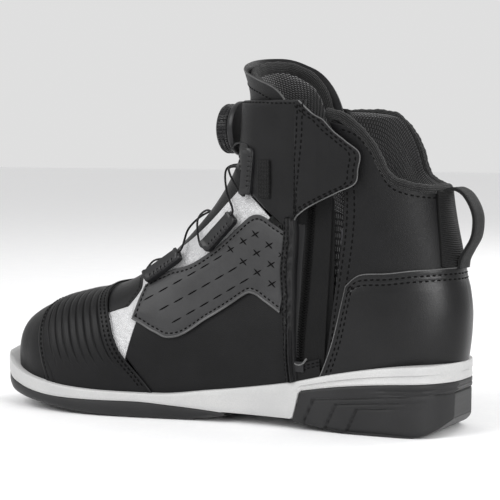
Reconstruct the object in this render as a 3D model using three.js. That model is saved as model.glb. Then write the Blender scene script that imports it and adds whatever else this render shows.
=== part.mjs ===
// An ankle-height riding boot for the right foot: a lasted upper over a cup sole and a separate heel
// block, closed by a dial that winds one lace, and by a zip under a hook-and-loop flap on the inner side.
// Millimetres. +Z is up, the toe points to -X, the inner (medial) side faces -Y, and the origin is on the
// ground under the middle of the heel.
import * as THREE from 'three';

// ---------------------------------------------------------------- driving dimensions
const SOLE_TOE = -259;          // foremost point of the sole
const SOLE_HEEL = 44;           // rearmost point of the sole
const PANEL_TOP = 188;          // height of the padded ankle panels
const TONGUE_TOP = 210;         // height of the tongue at its middle
const DIAL_HEIGHT = 172;
const DIAL_RADIUS = 15;
const LACE_RADIUS = 0.65;
const GUIDE_LENGTH = 27;
const GAP = 0.4;                // clearance between neighbouring pieces

// Layers of the upper, as distances from the surface of the last. Each is [inner, outer].
const LAYER = {
  lining: [-5.8, -4.1],
  stiffener: [-3.3, -2.4],
  shell: [-1.3, 0],
  padded: [-1.3, 1.2],
  overlay: [0.7, 1.9],
  topTrim: [2.0, 2.9],
};

// The last, as heights and half widths along the boot, and as front and back lines up the shaft.
const feather = profile([[-262, 34], [-240, 24], [-210, 17.5], [-175, 14.5], [-136, 14], [-104, 17.5],
  [-76, 21.5], [-50, 26], [-20, 33], [15, 38.5], [40, 40]]);
const ridge = profile([[-256, 38], [-247, 50], [-235, 59], [-218, 66.5], [-200, 71.5], [-185, 75],
  [-165, 83], [-146, 96.5], [-123, 116.5], [-100, 137], [-60, 165]]);
const footMedial = profile([[-251, 9], [-248, 17], [-241, 27.5], [-228, 38], [-208, 46], [-180, 49], [-150, 45],
  [-110, 36], [-70, 32], [-30, 30], [0, 28], [30, 22]]);
const footLateral = profile([[-251, 9], [-248, 17], [-241, 27.5], [-228, 38], [-208, 47], [-180, 52], [-150, 52],
  [-110, 46], [-70, 40], [-30, 34], [0, 28], [30, 22]]);
const middle = profile([[-262, -8], [-220, -4], [-180, 0], [-100, 2], [-40, 0], [40, 0]]);
const shaftFront = profile([[20, -150], [60, -135], [100, -119], [130, -104], [160, -96], [200, -92], [240, -90]]);
const shaftBack = profile([[25, 36], [45, 39], [65, 40], [90, 36], [105, 32.5], [120, 29], [140, 26.5],
  [180, 27], [240, 31]]);
const shaftMedial = profile([[20, 34], [50, 36], [75, 34], [100, 33], [130, 34], [160, 37], [200, 42], [240, 44]]);
const shaftLateral = profile([[20, 34], [50, 36], [75, 35], [100, 35], [130, 36], [160, 39], [200, 43], [240, 45]]);
const BLEND = 16;               // how softly the foot runs into the shaft

// The fan of rays that lays patterns on the last. It opens round the toe, runs straight along the foot,
// turns about a point above the instep and then goes straight up the shaft.
const TOE_CENTRE = new THREE.Vector3(-212, -3, 40);
const TURN = { x: -130, z: 178, radius: 110, shrink: 5, rise: 60 };

// ---------------------------------------------------------------- the last
function profile(points) {
  const n = points.length;
  const slopes = [];
  for (let i = 0; i < n - 1; i += 1) {
    slopes.push((points[i + 1][1] - points[i][1]) / (points[i + 1][0] - points[i][0]));
  }
  const tangents = slopes.map((slope, i) => {
    if (i === 0) return slope;
    const before = slopes[i - 1];
    if (before * slope <= 0) return 0;
    const h0 = points[i][0] - points[i - 1][0];
    const h1 = points[i + 1][0] - points[i][0];
    const mean = (before * h1 + slope * h0) / (h0 + h1);
    const limit = 3 * Math.min(Math.abs(before), Math.abs(slope));
    return Math.sign(mean) * Math.min(Math.abs(mean), limit);
  });
  tangents.push(slopes[n - 2]);
  return (t) => {
    if (t <= points[0][0]) return points[0][1] + (t - points[0][0]) * tangents[0];
    if (t >= points[n - 1][0]) return points[n - 1][1] + (t - points[n - 1][0]) * tangents[n - 1];
    let i = 0;
    while (t > points[i + 1][0]) i += 1;
    const h = points[i + 1][0] - points[i][0];
    const u = (t - points[i][0]) / h;
    const rise = points[i + 1][1] - points[i][1];
    return points[i][1] + u * u * (3 - 2 * u) * rise
      + h * u * (1 - u) * ((1 - u) * tangents[i] - u * tangents[i + 1]);
  };
}

function footField(x, y, z) {
  const low = feather(x);
  const high = ridge(x);
  const off = y - middle(x);
  const width = Math.max(off < 0 ? footMedial(x) : footLateral(x), 4);
  const waist = low + 0.22 * (high - low);
  const up = Math.max(z - waist, 0) / Math.max(high - waist, 1);
  const down = Math.max(waist - z, 0) / 60;
  const back = Math.max(x + 60, 0) / 76;
  const sum = (Math.abs(off) / width) ** 2.6 + up ** 2.2 + down ** 2.6 + back ** 2.6;
  return (sum ** (1 / 2.4) - 1) * Math.min(width, Math.max(high - waist, 1));
}

function shaftField(x, y, z) {
  const front = shaftFront(z);
  const back = shaftBack(z);
  const centre = (front + back) / 2 + 8;
  const reach = x > centre ? back - centre : centre - front;
  const width = y < 0 ? shaftMedial(z) : shaftLateral(z);
  const sum = (Math.abs(y) / width) ** 2.3 + (Math.abs(x - centre) / reach) ** 2.3;
  return (sum ** (1 / 2.3) - 1) * Math.min(width, reach);
}

function lastField(p) {
  const foot = footField(p.x, p.y, p.z);
  const shaft = shaftField(p.x, p.y, p.z);
  const near = Math.max(BLEND - Math.abs(foot - shaft), 0) / BLEND;
  return Math.min(foot, shaft) - near * near * BLEND / 4;
}

function castRay({ origin, direction }, reach = 260) {
  const point = (d) => origin.clone().addScaledVector(direction, d);
  let inside = 0;
  let outside = 2;
  while (outside < reach && lastField(point(outside)) < 0) {
    inside = outside;
    outside += 2;
  }
  for (let i = 0; i < 18; i += 1) {
    const half = (inside + outside) / 2;
    if (lastField(point(half)) > 0) outside = half;
    else inside = half;
  }
  return point((inside + outside) / 2);
}

function lastNormal(p) {
  const step = 0.5;
  const slope = ['x', 'y', 'z'].map((key) => {
    const more = p.clone();
    const less = p.clone();
    more[key] += step;
    less[key] -= step;
    return lastField(more) - lastField(less);
  });
  return new THREE.Vector3(...slope).normalize();
}

// A ray of the fan. s runs from 0 at the toe to above 3 up the shaft; turn is in degrees round the
// section, 0 at the front or top, 90 at the inner side, -90 at the outer side, 180 at the back.
function fanRay([s, turn]) {
  const angle = THREE.MathUtils.degToRad(turn);
  const cos = Math.cos(angle);
  const sin = Math.sin(angle);
  if (s < 1) {
    const dip = (s - 1) * Math.PI / 2;
    const direction = new THREE.Vector3(Math.sin(dip), -sin * Math.cos(dip), cos * Math.cos(dip));
    return { origin: TOE_CENTRE.clone(), direction };
  }
  const phi = Math.min(Math.max(s - 2, 0), 1) * Math.PI / 2;
  const radius = TURN.radius - TURN.shrink * Math.min(Math.max(s - 2, 0), 1);
  const origin = new THREE.Vector3(TURN.x + radius * Math.sin(phi), 0, TURN.z - radius * Math.cos(phi));
  if (s < 2) origin.lerp(TOE_CENTRE, 2 - s);
  if (s > 3) origin.z = TURN.z + (s - 3) * TURN.rise;
  const direction = new THREE.Vector3(-Math.sin(phi) * cos, -sin, Math.cos(phi) * cos);
  return { origin, direction };
}

// The place in the fan of a point that is given in side view, on the inner (1) or outer (-1) side.
function fanPlace(x, z, side = 1) {
  const p = castRay({ origin: new THREE.Vector3(x, 0, z), direction: new THREE.Vector3(0, -side, 0) }, 90);
  if (p.x < TOE_CENTRE.x) {
    const v = p.clone().sub(TOE_CENTRE);
    const dip = Math.atan2(v.x, Math.hypot(v.y, v.z));
    return [1 + dip / (Math.PI / 2), THREE.MathUtils.radToDeg(Math.atan2(-v.y, v.z))];
  }
  if (p.x < TURN.x) {
    const t = (p.x - TOE_CENTRE.x) / (TURN.x - TOE_CENTRE.x);
    const lift = p.z - THREE.MathUtils.lerp(TOE_CENTRE.z, TURN.z - TURN.radius, t);
    return [1 + t, THREE.MathUtils.radToDeg(Math.atan2(TOE_CENTRE.y * (1 - t) - p.y, lift))];
  }
  if (p.z > TURN.z) {
    const ahead = TURN.x + TURN.radius - TURN.shrink - p.x;
    return [3 + (p.z - TURN.z) / TURN.rise, THREE.MathUtils.radToDeg(Math.atan2(-p.y, ahead))];
  }
  const s = 2 + Math.atan2(p.x - TURN.x, TURN.z - p.z) / (Math.PI / 2);
  const inward = TURN.radius - TURN.shrink * (s - 2) - Math.hypot(p.x - TURN.x, p.z - TURN.z);
  return [s, THREE.MathUtils.radToDeg(Math.atan2(-p.y, inward))];
}

function lastPoint(place, offset) {
  const p = castRay(fanRay(place));
  return p.addScaledVector(lastNormal(p), offset);
}

// A place at a given height above the feather line, at station x.
const featherPlace = (x, side = 1, lift = GAP) => fanPlace(x, feather(x) + lift, side);

// Finds the value of t between a and b at which the ray to place(t) meets the feather line.
function meetFeather(place, a, b) {
  const above = (t) => {
    const p = castRay(fanRay(place(t)));
    return p.z > feather(p.x) + GAP;
  };
  let [high, low] = [a, b];
  for (let i = 0; i < 12; i += 1) {
    const half = (high + low) / 2;
    if (above(half)) high = half;
    else low = half;
  }
  return (high + low) / 2;
}

// ---------------------------------------------------------------- materials
const finish = (color, roughness, metalness = 0) => new THREE.MeshStandardMaterial({ color, roughness, metalness });
const FINISH = {
  leather: () => finish(0x1b1b1d, 0.5),
  softLeather: () => finish(0x212123, 0.45),
  reflective: () => finish(0xd6d7d8, 0.6),
  mesh: () => finish(0x2a2a2c, 0.9),
  webbing: () => finish(0x18181a, 0.85),
  plastic: () => finish(0x141416, 0.4),
  midsole: () => finish(0xe9e9e7, 0.55),
  rubber: () => finish(0x2b2b2d, 0.75),
  board: () => finish(0x6b5b48, 0.9),
  foam: () => finish(0x3a3a3d, 0.95),
  steel: () => finish(0x9a9da1, 0.35, 1),
  cord: () => finish(0x101012, 0.5),
};

// ---------------------------------------------------------------- solid builders
function closedSolid(vertices, faces) {
  let volume = 0;
  const cross = new THREE.Vector3();
  for (const [a, b, c] of faces) volume += cross.crossVectors(vertices[a], vertices[b]).dot(vertices[c]);
  const ordered = volume < 0 ? faces.map(([a, b, c]) => [a, c, b]) : faces;
  const geometry = new THREE.BufferGeometry();
  const flat = vertices.flatMap((v) => [v.x, v.y, v.z]);
  geometry.setAttribute('position', new THREE.Float32BufferAttribute(flat, 3));
  geometry.setIndex(ordered.flat());
  geometry.computeVertexNormals();
  return geometry;
}

// A thick sheet on the last. place(u, v) gives a place in the fan or a ray, and layer its inner and
// outer distance from the last, as numbers or as functions of the point on the last.
function sheet(place, [inner, outer], nu, nv) {
  const vertices = [];
  const skins = [[], []];
  for (let i = 0; i <= nu; i += 1) {
    for (let j = 0; j <= nv; j += 1) {
      const spot = place(i / nu, j / nv);
      const base = castRay(Array.isArray(spot) ? fanRay(spot) : spot);
      const normal = lastNormal(base);
      [inner, outer].forEach((offset, k) => {
        const amount = typeof offset === 'function' ? offset(base) : offset;
        const vertex = base.clone().addScaledVector(normal, amount);
        vertex.z = Math.max(vertex.z, feather(vertex.x) + GAP);
        skins[k].push(vertices.length);
        vertices.push(vertex);
      });
    }
  }
  const faces = [];
  const quad = (a, b, c, d) => faces.push([a, b, c], [a, c, d]);
  const at = (k, i, j) => skins[k][i * (nv + 1) + j];
  for (let i = 0; i < nu; i += 1) {
    for (let j = 0; j < nv; j += 1) {
      quad(at(0, i, j), at(0, i + 1, j), at(0, i + 1, j + 1), at(0, i, j + 1));
      quad(at(1, i, j), at(1, i, j + 1), at(1, i + 1, j + 1), at(1, i + 1, j));
    }
    quad(at(0, i, 0), at(1, i, 0), at(1, i + 1, 0), at(0, i + 1, 0));
    quad(at(0, i + 1, nv), at(1, i + 1, nv), at(1, i, nv), at(0, i, nv));
  }
  for (let j = 0; j < nv; j += 1) {
    quad(at(0, 0, j + 1), at(1, 0, j + 1), at(1, 0, j), at(0, 0, j));
    quad(at(0, nu, j), at(1, nu, j), at(1, nu, j + 1), at(0, nu, j + 1));
  }
  return closedSolid(vertices, faces);
}

// A pattern piece between two edges whose points face each other one by one.
function between(lower, upper) {
  const [a, b] = [lower, upper].map((edge) => new THREE.SplineCurve(edge.map((p) => new THREE.Vector2(...p))));
  return (u, v) => {
    const p = a.getPoint(u).lerp(b.getPoint(u), v);
    return [p.x, p.y];
  };
}

const mirrored = (edge, side) => edge.map(([s, turn]) => [s, turn * side]);
const mirroredPair = (edge) => (side) => mirrored(edge, side);

// A toe piece is spread by direction, because its edges meet round the pole of the fan.
function toeSpread(lower, upper) {
  const [starts, ends] = [lower, upper].map((edge) => {
    const heads = edge.map((place) => fanRay(place).direction);
    return new THREE.CatmullRomCurve3(heads, false, 'centripetal');
  });
  return (u, v) => {
    const direction = starts.getPoint(u).lerp(ends.getPoint(u), v).normalize();
    return { origin: TOE_CENTRE.clone(), direction };
  };
}

// A solid skinned over rings of points that all have the same count, with flat ends.
function loft(rings) {
  const vertices = rings.flat();
  const count = rings[0].length;
  const faces = [];
  for (let i = 0; i < rings.length - 1; i += 1) {
    for (let j = 0; j < count; j += 1) {
      const a = i * count + j;
      const b = i * count + (j + 1) % count;
      faces.push([a, b, b + count], [a, b + count, a + count]);
    }
  }
  const last = (rings.length - 1) * count;
  for (let j = 1; j < count - 1; j += 1) {
    faces.push([0, j + 1, j], [last, last + j, last + j + 1]);
  }
  return closedSolid(vertices, faces);
}

const boot = new THREE.Group();

function add(name, geometry, material) {
  const mesh = new THREE.Mesh(geometry, material);
  mesh.name = name;
  boot.add(mesh);
  return mesh;
}

const sides = [['medial', 1], ['lateral', -1]];

// ---------------------------------------------------------------- sole
// Half widths of the sole; the heel end is rounded by heelRound.
const soleMedial = profile([[SOLE_TOE, 8], [-255, 17.5], [-247, 29], [-232, 40.5], [-212, 48.5], [-180, 52.5],
  [-150, 49], [-110, 41], [-70, 38.5], [-30, 39], [10, 37], [SOLE_HEEL, 34]]);
const soleLateral = profile([[SOLE_TOE, 8], [-255, 17.5], [-247, 29], [-232, 41], [-212, 50], [-180, 56],
  [-150, 56], [-110, 50], [-70, 44], [-30, 41], [10, 38], [SOLE_HEEL, 34]]);
const HEEL_ROUND = 30;
const groundLine = profile([[SOLE_TOE, 14], [-240, 8.5], [-215, 4.5], [-190, 1.5], [-165, 0.2], [-150, 0],
  [-125, 0], [-105, 1.6], [-94, 3.6]]);
const outsoleTop = profile([[SOLE_TOE, 22], [-240, 15.5], [-215, 10.5], [-180, 9], [-150, 9.2], [-125, 7.6],
  [-94, 5.2]]);
const heelTop = profile([[-50, 21], [-20, 26], [10, 29], [SOLE_HEEL, 30.5]]);

function heelRound(x) {
  const heel = Math.max(1 - (SOLE_HEEL - x) / HEEL_ROUND, 0);
  return Math.sqrt(Math.max(1 - heel ** 2.6, 0.01));
}

// One cross-section of a sole piece: its low and high heights and how much narrower its underside is.
function soleRing(x, low, high, inset, tuck = 0.5) {
  const wide = heelRound(x);
  const y0 = middle(x);
  const medial = soleMedial(x) * wide - inset;
  const lateral = soleLateral(x) * wide - inset;
  const edge = Math.min((high - low) * 0.25, 2);
  const point = (y, z) => new THREE.Vector3(x, y, z);
  return [point(y0 - medial + tuck + edge, low), point(y0 - medial, low + edge), point(y0 - medial, high),
    point(y0 + lateral, high), point(y0 + lateral, low + edge), point(y0 + lateral - tuck - edge, low)];
}

function spaced(from, to, count, ease = (t) => t) {
  return Array.from({ length: count + 1 }, (_, i) => THREE.MathUtils.lerp(from, to, ease(i / count)));
}

function outsoleForefoot() {
  const stations = spaced(SOLE_TOE + 1.2, -94, 17, (t) => t ** 1.5);
  return loft(stations.map((x) => soleRing(x, groundLine(x), outsoleTop(x), 1.2)));
}

function heelBlock() {
  const lift = profile([[-50, 4.5], [-28, 1.6], [-10, 0], [22, 0], [34, 3], [SOLE_HEEL, 12]]);
  const stations = spaced(-46, SOLE_HEEL - 1, 14, (t) => 1 - (1 - t) ** 1.5);
  return loft(stations.map((x) => soleRing(x, lift(x), heelTop(x), 1.2)));
}

function midsoleLow(x) {
  if (x < -97) return outsoleTop(Math.max(x, SOLE_TOE)) + GAP;
  if (x > -49) return heelTop(x) + GAP;
  return 5.8;
}

function midsole() {
  const stations = [...spaced(SOLE_TOE, -97.5, 15, (t) => t ** 1.5), ...spaced(-92.5, -52, 3),
    ...spaced(-48, SOLE_HEEL, 14, (t) => 1 - (1 - t) ** 1.5)];
  return loft(stations.map((x) => soleRing(x, midsoleLow(x), feather(x), 0, 0)));
}

// The flat layers inside the boot, which follow the feather line.
function innerLayer(from, to, lift, thickness, inset) {
  const stations = spaced(from, to, 14, (t) => t * t * (3 - 2 * t));
  return loft(stations.map((x) => {
    const z = feather(x) + lift;
    const toe = Math.max(1 - (x - from) / 30, 0);
    const heel = Math.max(1 - (to - x) / 26, 0);
    const wide = Math.sqrt(Math.max(1 - toe ** 2.4 - heel ** 2.4, 0.04));
    const medial = (soleMedial(x) - inset) * wide;
    const lateral = (soleLateral(x) - inset) * wide;
    const y0 = middle(x);
    return [new THREE.Vector3(x, y0 - medial, z), new THREE.Vector3(x, y0 - medial, z + thickness),
      new THREE.Vector3(x, y0 + lateral, z + thickness), new THREE.Vector3(x, y0 + lateral, z)];
  }));
}

function shank() {
  const stations = spaced(-150, 0, 8);
  return loft(stations.map((x) => {
    const z = feather(x) + GAP;
    return [new THREE.Vector3(x, -12, z), new THREE.Vector3(x, -12, z + 1.2),
      new THREE.Vector3(x, 12, z + 1.2), new THREE.Vector3(x, 12, z)];
  }));
}

add('outsole_forefoot', outsoleForefoot(), FINISH.rubber());
add('heel_block', heelBlock(), FINISH.rubber());
add('midsole', midsole(), FINISH.midsole());
add('shank', shank(), FINISH.steel());
add('insole_board', innerLayer(-239, 28, 2, 1.8, 11), FINISH.board());
add('footbed', innerLayer(-237, 25, 4.2, 3.6, 13.5), FINISH.foam());

// ---------------------------------------------------------------- toe and vamp
// How far back the toe seam and the ribbed panel's rear edge lie, by turn from the top of the foot.
const seamAt = profile([[0, 0.77], [55, 0.81], [84, 0.885], [108, 0.975]]);
const panelRearAt = profile([[0, 1.38], [30, 1.395], [58, 1.44], [85, 1.53], [116, 1.66], [144, 1.91]]);
const SEAM_GAP = 0.008;

// The turn of the feather line at s, on one side.
const featherTurn = (s, side) => meetFeather((turn) => [s, turn], 60 * side, 175 * side);

// The place on a line across the foot, from the inner feather line (1) over the top to the outer (-1).
function lineAcross(lineAt, across) {
  let place = [lineAt(0), 0];
  for (let i = 0; i < 5; i += 1) {
    const turn = Math.abs(across) * featherTurn(place[0], across < 0 ? -1 : 1);
    place = [lineAt(Math.abs(turn)), turn];
  }
  return place;
}

// A band over the foot between two such lines, reaching down to the feather line on both sides.
function footBand(frontAt, rearAt) {
  return (u, v) => {
    const across = 1 - 2 * u;
    const s = THREE.MathUtils.lerp(lineAcross(frontAt, across)[0], lineAcross(rearAt, across)[0], v);
    return [s, Math.abs(across) * featherTurn(s, across < 0 ? -1 : 1)];
  };
}

function toeCap() {
  const seam = spaced(0, 1, 8).map((u) => footBand(seamAt, seamAt)(u, 0)).map(([s, turn]) => [s - SEAM_GAP, turn]);
  const nose = meetFeather((s) => [s, 180], 0, 0.6);
  const tip = [-214, -232, -243, -248.5].map((x) => featherPlace(x));
  const outerTip = [-248.5, -243, -232, -214].map((x) => featherPlace(x, -1));
  return sheet(toeSpread(seam, [...tip, [nose, 180], ...outerTip]), LAYER.shell, 18, 6);
}

function ribbedPanel() {
  const front = (turn) => seamAt(turn) + SEAM_GAP;
  return sheet(footBand(front, panelRearAt), [-1.3, 1.1], 20, 8);
}

function toePuff() {
  const start = [[0.97, 100], [0.88, 80], [0.84, 50], [0.82, 0], [0.84, -50], [0.88, -80], [0.97, -100]];
  const end = [-216, -236, -245, null, -245, -236, -216].map((x, i) => {
    if (x === null) return [0.08, 0];
    return featherPlace(x, i < 3 ? 1 : -1, 8);
  });
  return sheet(toeSpread(start, end), LAYER.stiffener, 14, 5);
}

function vamp() {
  const front = [[1.53, 73], [1.475, 50], [1.43, 25], [1.41, 0], [1.43, -25], [1.475, -50], [1.53, -73]];
  const rear = [[1.655, 75], [1.69, 58], [1.68, 30], [1.67, 0], [1.68, -30], [1.69, -58], [1.655, -75]];
  return sheet(between(front, rear), LAYER.shell, 14, 3);
}

// The white panel between the vamp, the throat and the stitched overlay.
const throatOuter = [[1.69, 116], [1.71, 106], [1.73, 97], [1.75, 88], [1.765, 80], [1.785, 72], [1.86, 67],
  [2.05, 63], [2.21, 56], [2.38, 53], [2.51, 54]];
const throatInner = [[1.69, 113.5], [1.63, 102], [1.575, 88], [1.56, 78], [1.67, 77.5], [1.72, 64], [1.765, 50],
  [1.93, 40], [2.16, 31], [2.34, 28], [2.52, 30]];

function throatPanel(side) {
  return sheet(between(mirrored(throatOuter, side), mirrored(throatInner, side)), LAYER.shell, 20, 3);
}

add('toe_cap', toeCap(), FINISH.leather());
add('ribbed_toe_panel', ribbedPanel(), FINISH.leather());
add('toe_puff', toePuff(), FINISH.board());
add('vamp', vamp(), FINISH.softLeather());
for (const [name, side] of sides) add(`throat_panel_${name}`, throatPanel(side), FINISH.reflective());

// ---------------------------------------------------------------- quarters, overlays, ankle panels
function quarter(side) {
  const rear = side > 0 ? -50.5 : -49;
  const low = [-134, -126, -116, -104, -90, -78, -66, -58, rear].map((x) => featherPlace(x, side));
  const high = mirrored([[1.705, 118], [1.75, 96], [1.785, 80], [1.83, 71], [2.05, 66.5], [2.21, 59.5],
    [2.38, 56], [2.52, 58], [2.545, 80]], side);
  return sheet(between(low, high), LAYER.shell, 16, 7);
}

function sideOverlay(side) {
  const low = [[1.718, 92], [1.80, 99], [1.90, 109], [2.02, 117.5], [2.144, 106], [2.285, 98], [2.32, 102],
    [2.345, 113], [2.37, 124]];
  const high = [[1.785, 65], [1.88, 62], [1.97, 60.5], [2.08, 57], [2.208, 51], [2.378, 48], [2.50, 50],
    [2.532, 66], [2.545, 80]];
  return sheet(between(mirrored(low, side), mirrored(high, side)), LAYER.overlay, 16, 4);
}

function anklePanel(side) {
  const front = [[3.17, 14], [2.98, 14], [2.85, 15], [2.72, 18], [2.60, 26], [2.56, 38]];
  const rear = [[3.16, 69], [3.03, 65], [2.90, 63], [2.76, 66], [2.64, 76], [2.575, 84]];
  return sheet(between(mirrored(front, side), mirrored(rear, side)), LAYER.padded, 10, 6);
}

for (const [name, side] of sides) {
  add(`quarter_${name}`, quarter(side), FINISH.leather());
  add(`side_overlay_${name}`, sideOverlay(side), FINISH.softLeather());
  add(`ankle_panel_${name}`, anklePanel(side), FINISH.softLeather());
}

// ---------------------------------------------------------------- back of the boot
const whole = ([s, turn]) => [s, turn < 0 ? turn + 360 : turn];

// An edge that runs back along the inner side, round the heel and forward along the outer side.
function roundHeel(edgeFor, backPlace) {
  return [...edgeFor(1), [backPlace, 180], ...edgeFor(-1).toReversed().map(whole)];
}

const backFeather = (lift) => meetFeather((s) => [s, 180], 2.75, 2.45) + lift / 135;
const featherRound = (stations, lift = GAP) => roundHeel(
  (side) => stations.map((x) => featherPlace(x, side, lift)), backFeather(lift - GAP),
);

function rearQuarter() {
  const low = [-29.5, -14, 2, 16, 29].map((x) => featherPlace(x));
  const outerLow = [29, 16, 2, -14, -30, -47.5].map((x) => whole(featherPlace(x, -1)));
  const high = [fanPlace(-24.5, 176), [2.965, 112], [2.91, 127], [2.845, 140], [2.832, 155]];
  const outerHigh = [[2.832, 205], [2.845, 220], [2.91, 233], [2.965, 248], [3.0, 262], [3.0, 284]];
  const lower = [...low, [backFeather(0), 180], ...outerLow];
  const upper = [...high, [2.84, 180], ...outerHigh];
  return sheet(between(lower, upper), LAYER.shell, 26, 8);
}

function heelCounter() {
  const lower = featherRound([-32, -20, -4, 14, 29]);
  const rim = mirroredPair([[2.563, 140.5], [2.60, 143.5], [2.64, 152], [2.675, 161], [2.70, 171]]);
  return sheet(between(lower, roundHeel(rim, 2.706)), [0.8, 2.0], 26, 7);
}

function heelStiffener() {
  const rim = mirroredPair([[2.52, 143], [2.58, 151], [2.63, 160], [2.65, 170]]);
  return sheet(between(featherRound([-24, -8, 10, 27], 8), roundHeel(rim, 2.655)), LAYER.stiffener, 22, 6);
}

function loopTape() {
  return sheet(between([[2.718, 172], [2.718, 188]], [[2.83, 172], [2.83, 188]]), [0.7, 1.6], 2, 4);
}

const LOOP_WIDTH = 12;
const LOOP_THICKNESS = 1.8;

function pullLoop() {
  const route = [[31.5, 136], [40, 134.5], [47.5, 128], [50, 118], [48, 109.5], [44.5, 103.5], [40.8, 100.5]];
  const spine = new THREE.SplineCurve(route.map((p) => new THREE.Vector2(...p)));
  const count = 20;
  const outline = [1, -1].flatMap((sign) => {
    const steps = spaced(0, 1, count).map((t) => {
      const tangent = spine.getTangent(t);
      return spine.getPoint(t).add(new THREE.Vector2(-tangent.y, tangent.x).multiplyScalar(sign * LOOP_THICKNESS / 2));
    });
    return sign > 0 ? steps : steps.reverse();
  });
  const geometry = new THREE.ExtrudeGeometry(new THREE.Shape(outline), { depth: LOOP_WIDTH, bevelEnabled: false });
  geometry.rotateX(Math.PI / 2);
  return geometry.translate(0, LOOP_WIDTH / 2, 0);
}

add('rear_quarter', rearQuarter(), FINISH.leather());
add('heel_counter', heelCounter(), FINISH.leather());
add('heel_stiffener', heelStiffener(), FINISH.board());
add('loop_base_tape', loopTape(), FINISH.webbing());
add('pull_loop', pullLoop(), FINISH.webbing());

// ---------------------------------------------------------------- lining and padding
function vampLining() {
  const stations = [-216, -204, -192, -180, -168, -157];
  const low = stations.map((x) => featherPlace(x, 1, 9));
  const high = stations.map((x) => featherPlace(x, -1, 9));
  return sheet(between(low, high), LAYER.lining, 10, 10);
}

function quarterLining() {
  const low = featherRound([-146, -124, -100, -76, -50, -24, 0, 24], 9);
  const high = mirroredPair([[1.80, 76], [2.0, 70], [2.25, 62], [2.45, 60], [2.62, 78], [2.72, 112],
    [2.715, 138], [2.70, 162]]);
  return sheet(between(low, roundHeel(high, 2.70)), LAYER.lining, 32, 6);
}

// The padded roll round the opening stands a little above the shell.
function collarPadding() {
  const low = mirroredPair([[2.74, 84], [2.755, 104], [2.755, 124], [2.745, 142], [2.74, 162]]);
  const high = mirroredPair([[2.99, 97], [2.985, 111], [2.93, 126], [2.865, 140], [2.852, 158]]);
  return sheet(between(roundHeel(low, 2.74), roundHeel(high, 2.855)), [-7.5, -2.2], 30, 4);
}

function ankleProtector(side) {
  const centre = { x: -4, z: 99 };
  const half = 16;
  const edge = (z) => [-half, 0, half].map((dx) => fanPlace(centre.x + dx, z, side));
  return sheet(between(edge(centre.z - half), edge(centre.z + half)), LAYER.stiffener, 5, 5);
}

add('vamp_lining', vampLining(), FINISH.mesh());
add('quarter_lining', quarterLining(), FINISH.mesh());
add('collar_padding', collarPadding(), FINISH.mesh());
for (const [name, side] of sides) add(`ankle_protector_${name}`, ankleProtector(side), FINISH.foam());

// ---------------------------------------------------------------- tongue
// The tongue runs from under the vamp to above the ankle panels, where it flares away from the shin.
const tongueHalfTurn = profile([[1.62, 50], [1.9, 46], [2.3, 40], [2.6, 46], [2.9, 56], [3.2, 58], [3.6, 52]]);
const flare = (z) => 8.5 * THREE.MathUtils.smoothstep(z, PANEL_TOP + 1, TONGUE_TOP + 4);

function tongueSheet(layer, start, topDrop, narrower, nu, nv) {
  const topAt = (turn) => 3 + (TONGUE_TOP - topDrop - TURN.z) / TURN.rise - 0.32 * (Math.abs(turn + 14) / 60) ** 2.6;
  const place = (u, v) => {
    const across = 2 * v - 1;
    const top = topAt(across * 58);
    const s = THREE.MathUtils.lerp(start, top, u);
    return [s, across * (tongueHalfTurn(s) - narrower)];
  };
  const lifted = layer.map((offset) => (p) => offset + flare(p.z));
  return sheet(place, lifted, nu, nv);
}

add('tongue', tongueSheet([-3.8, -2.3], 1.74, 0, 0, 18, 12), FINISH.softLeather());
add('tongue_padding', tongueSheet([-8.8, -4.6], 1.9, 4, 4, 16, 10), FINISH.mesh());

// ---------------------------------------------------------------- zip and flap
const zipX = (z) => -38.2 + (z - 110) * 0.0757;
const tapeFront = profile([[36, -49.7], [120, -47.2], [142, -44], [165, -42.5]]);
const tapeRear = profile([[36, -31.2], [80, -29.2], [125, -27.6], [165, -26.6]]);
const ZIP_BOTTOM = 41;
const ZIP_TOP = 162;

// A strip of the zip between two lines that give x by height.
function zipStrip(fromX, toX, layer) {
  const heights = spaced(ZIP_BOTTOM, ZIP_TOP, 8);
  const edge = (line) => heights.map((z) => fanPlace(line(z), z));
  return sheet(between(edge(fromX), edge(toX)), layer, 12, 1);
}

const besideZip = (dx) => (z) => zipX(z) + dx;

function zipFacing() {
  const front = [[-54.5, 111], [-52.2, 91], [-50.4, 68], [-49, 46], [-48.4, 31]];
  const rear = [[-47.2, 111], [-46.5, 91], [-46.3, 68], [-46.3, 46], [-45.6, 31]];
  const edge = (points) => points.map(([x, z]) => fanPlace(x, z));
  return sheet(between(edge(front), edge(rear)), LAYER.topTrim, 10, 1);
}

function stormFlap() {
  const heights = spaced(44, 130, 6);
  const edge = (x) => heights.map((z) => fanPlace(x, z));
  return sheet(between(edge(-49), edge(-25)), LAYER.stiffener, 8, 2);
}

function stopBlock(z, height) {
  const edge = (x) => [z - height / 2, z + height / 2].map((level) => fanPlace(zipX(z) + x, level));
  return sheet(between(edge(-3.2), edge(3.2)), [0.3, 1.8], 1, 2);
}

// The slider rides a straight line just outside the teeth, from under the flap down to the lower stop.
const SLIDER = { x: -35.2, y: -39.3, z: 150, width: 8, thick: 2.2, tall: 9 };

function chamferedPlate(width, tall, thick, cut) {
  const w = width / 2;
  const h = tall / 2;
  const outline = [[-w + cut, -h], [w - cut, -h], [w, -h + cut * 2], [w, h - cut], [w - cut, h],
    [-w + cut, h], [-w, h - cut], [-w, -h + cut * 2]];
  const shape = new THREE.Shape(outline.map((p) => new THREE.Vector2(...p)));
  const geometry = new THREE.ExtrudeGeometry(shape, { depth: thick, bevelEnabled: false });
  return geometry.translate(0, 0, -thick / 2).rotateX(Math.PI / 2);
}

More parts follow.
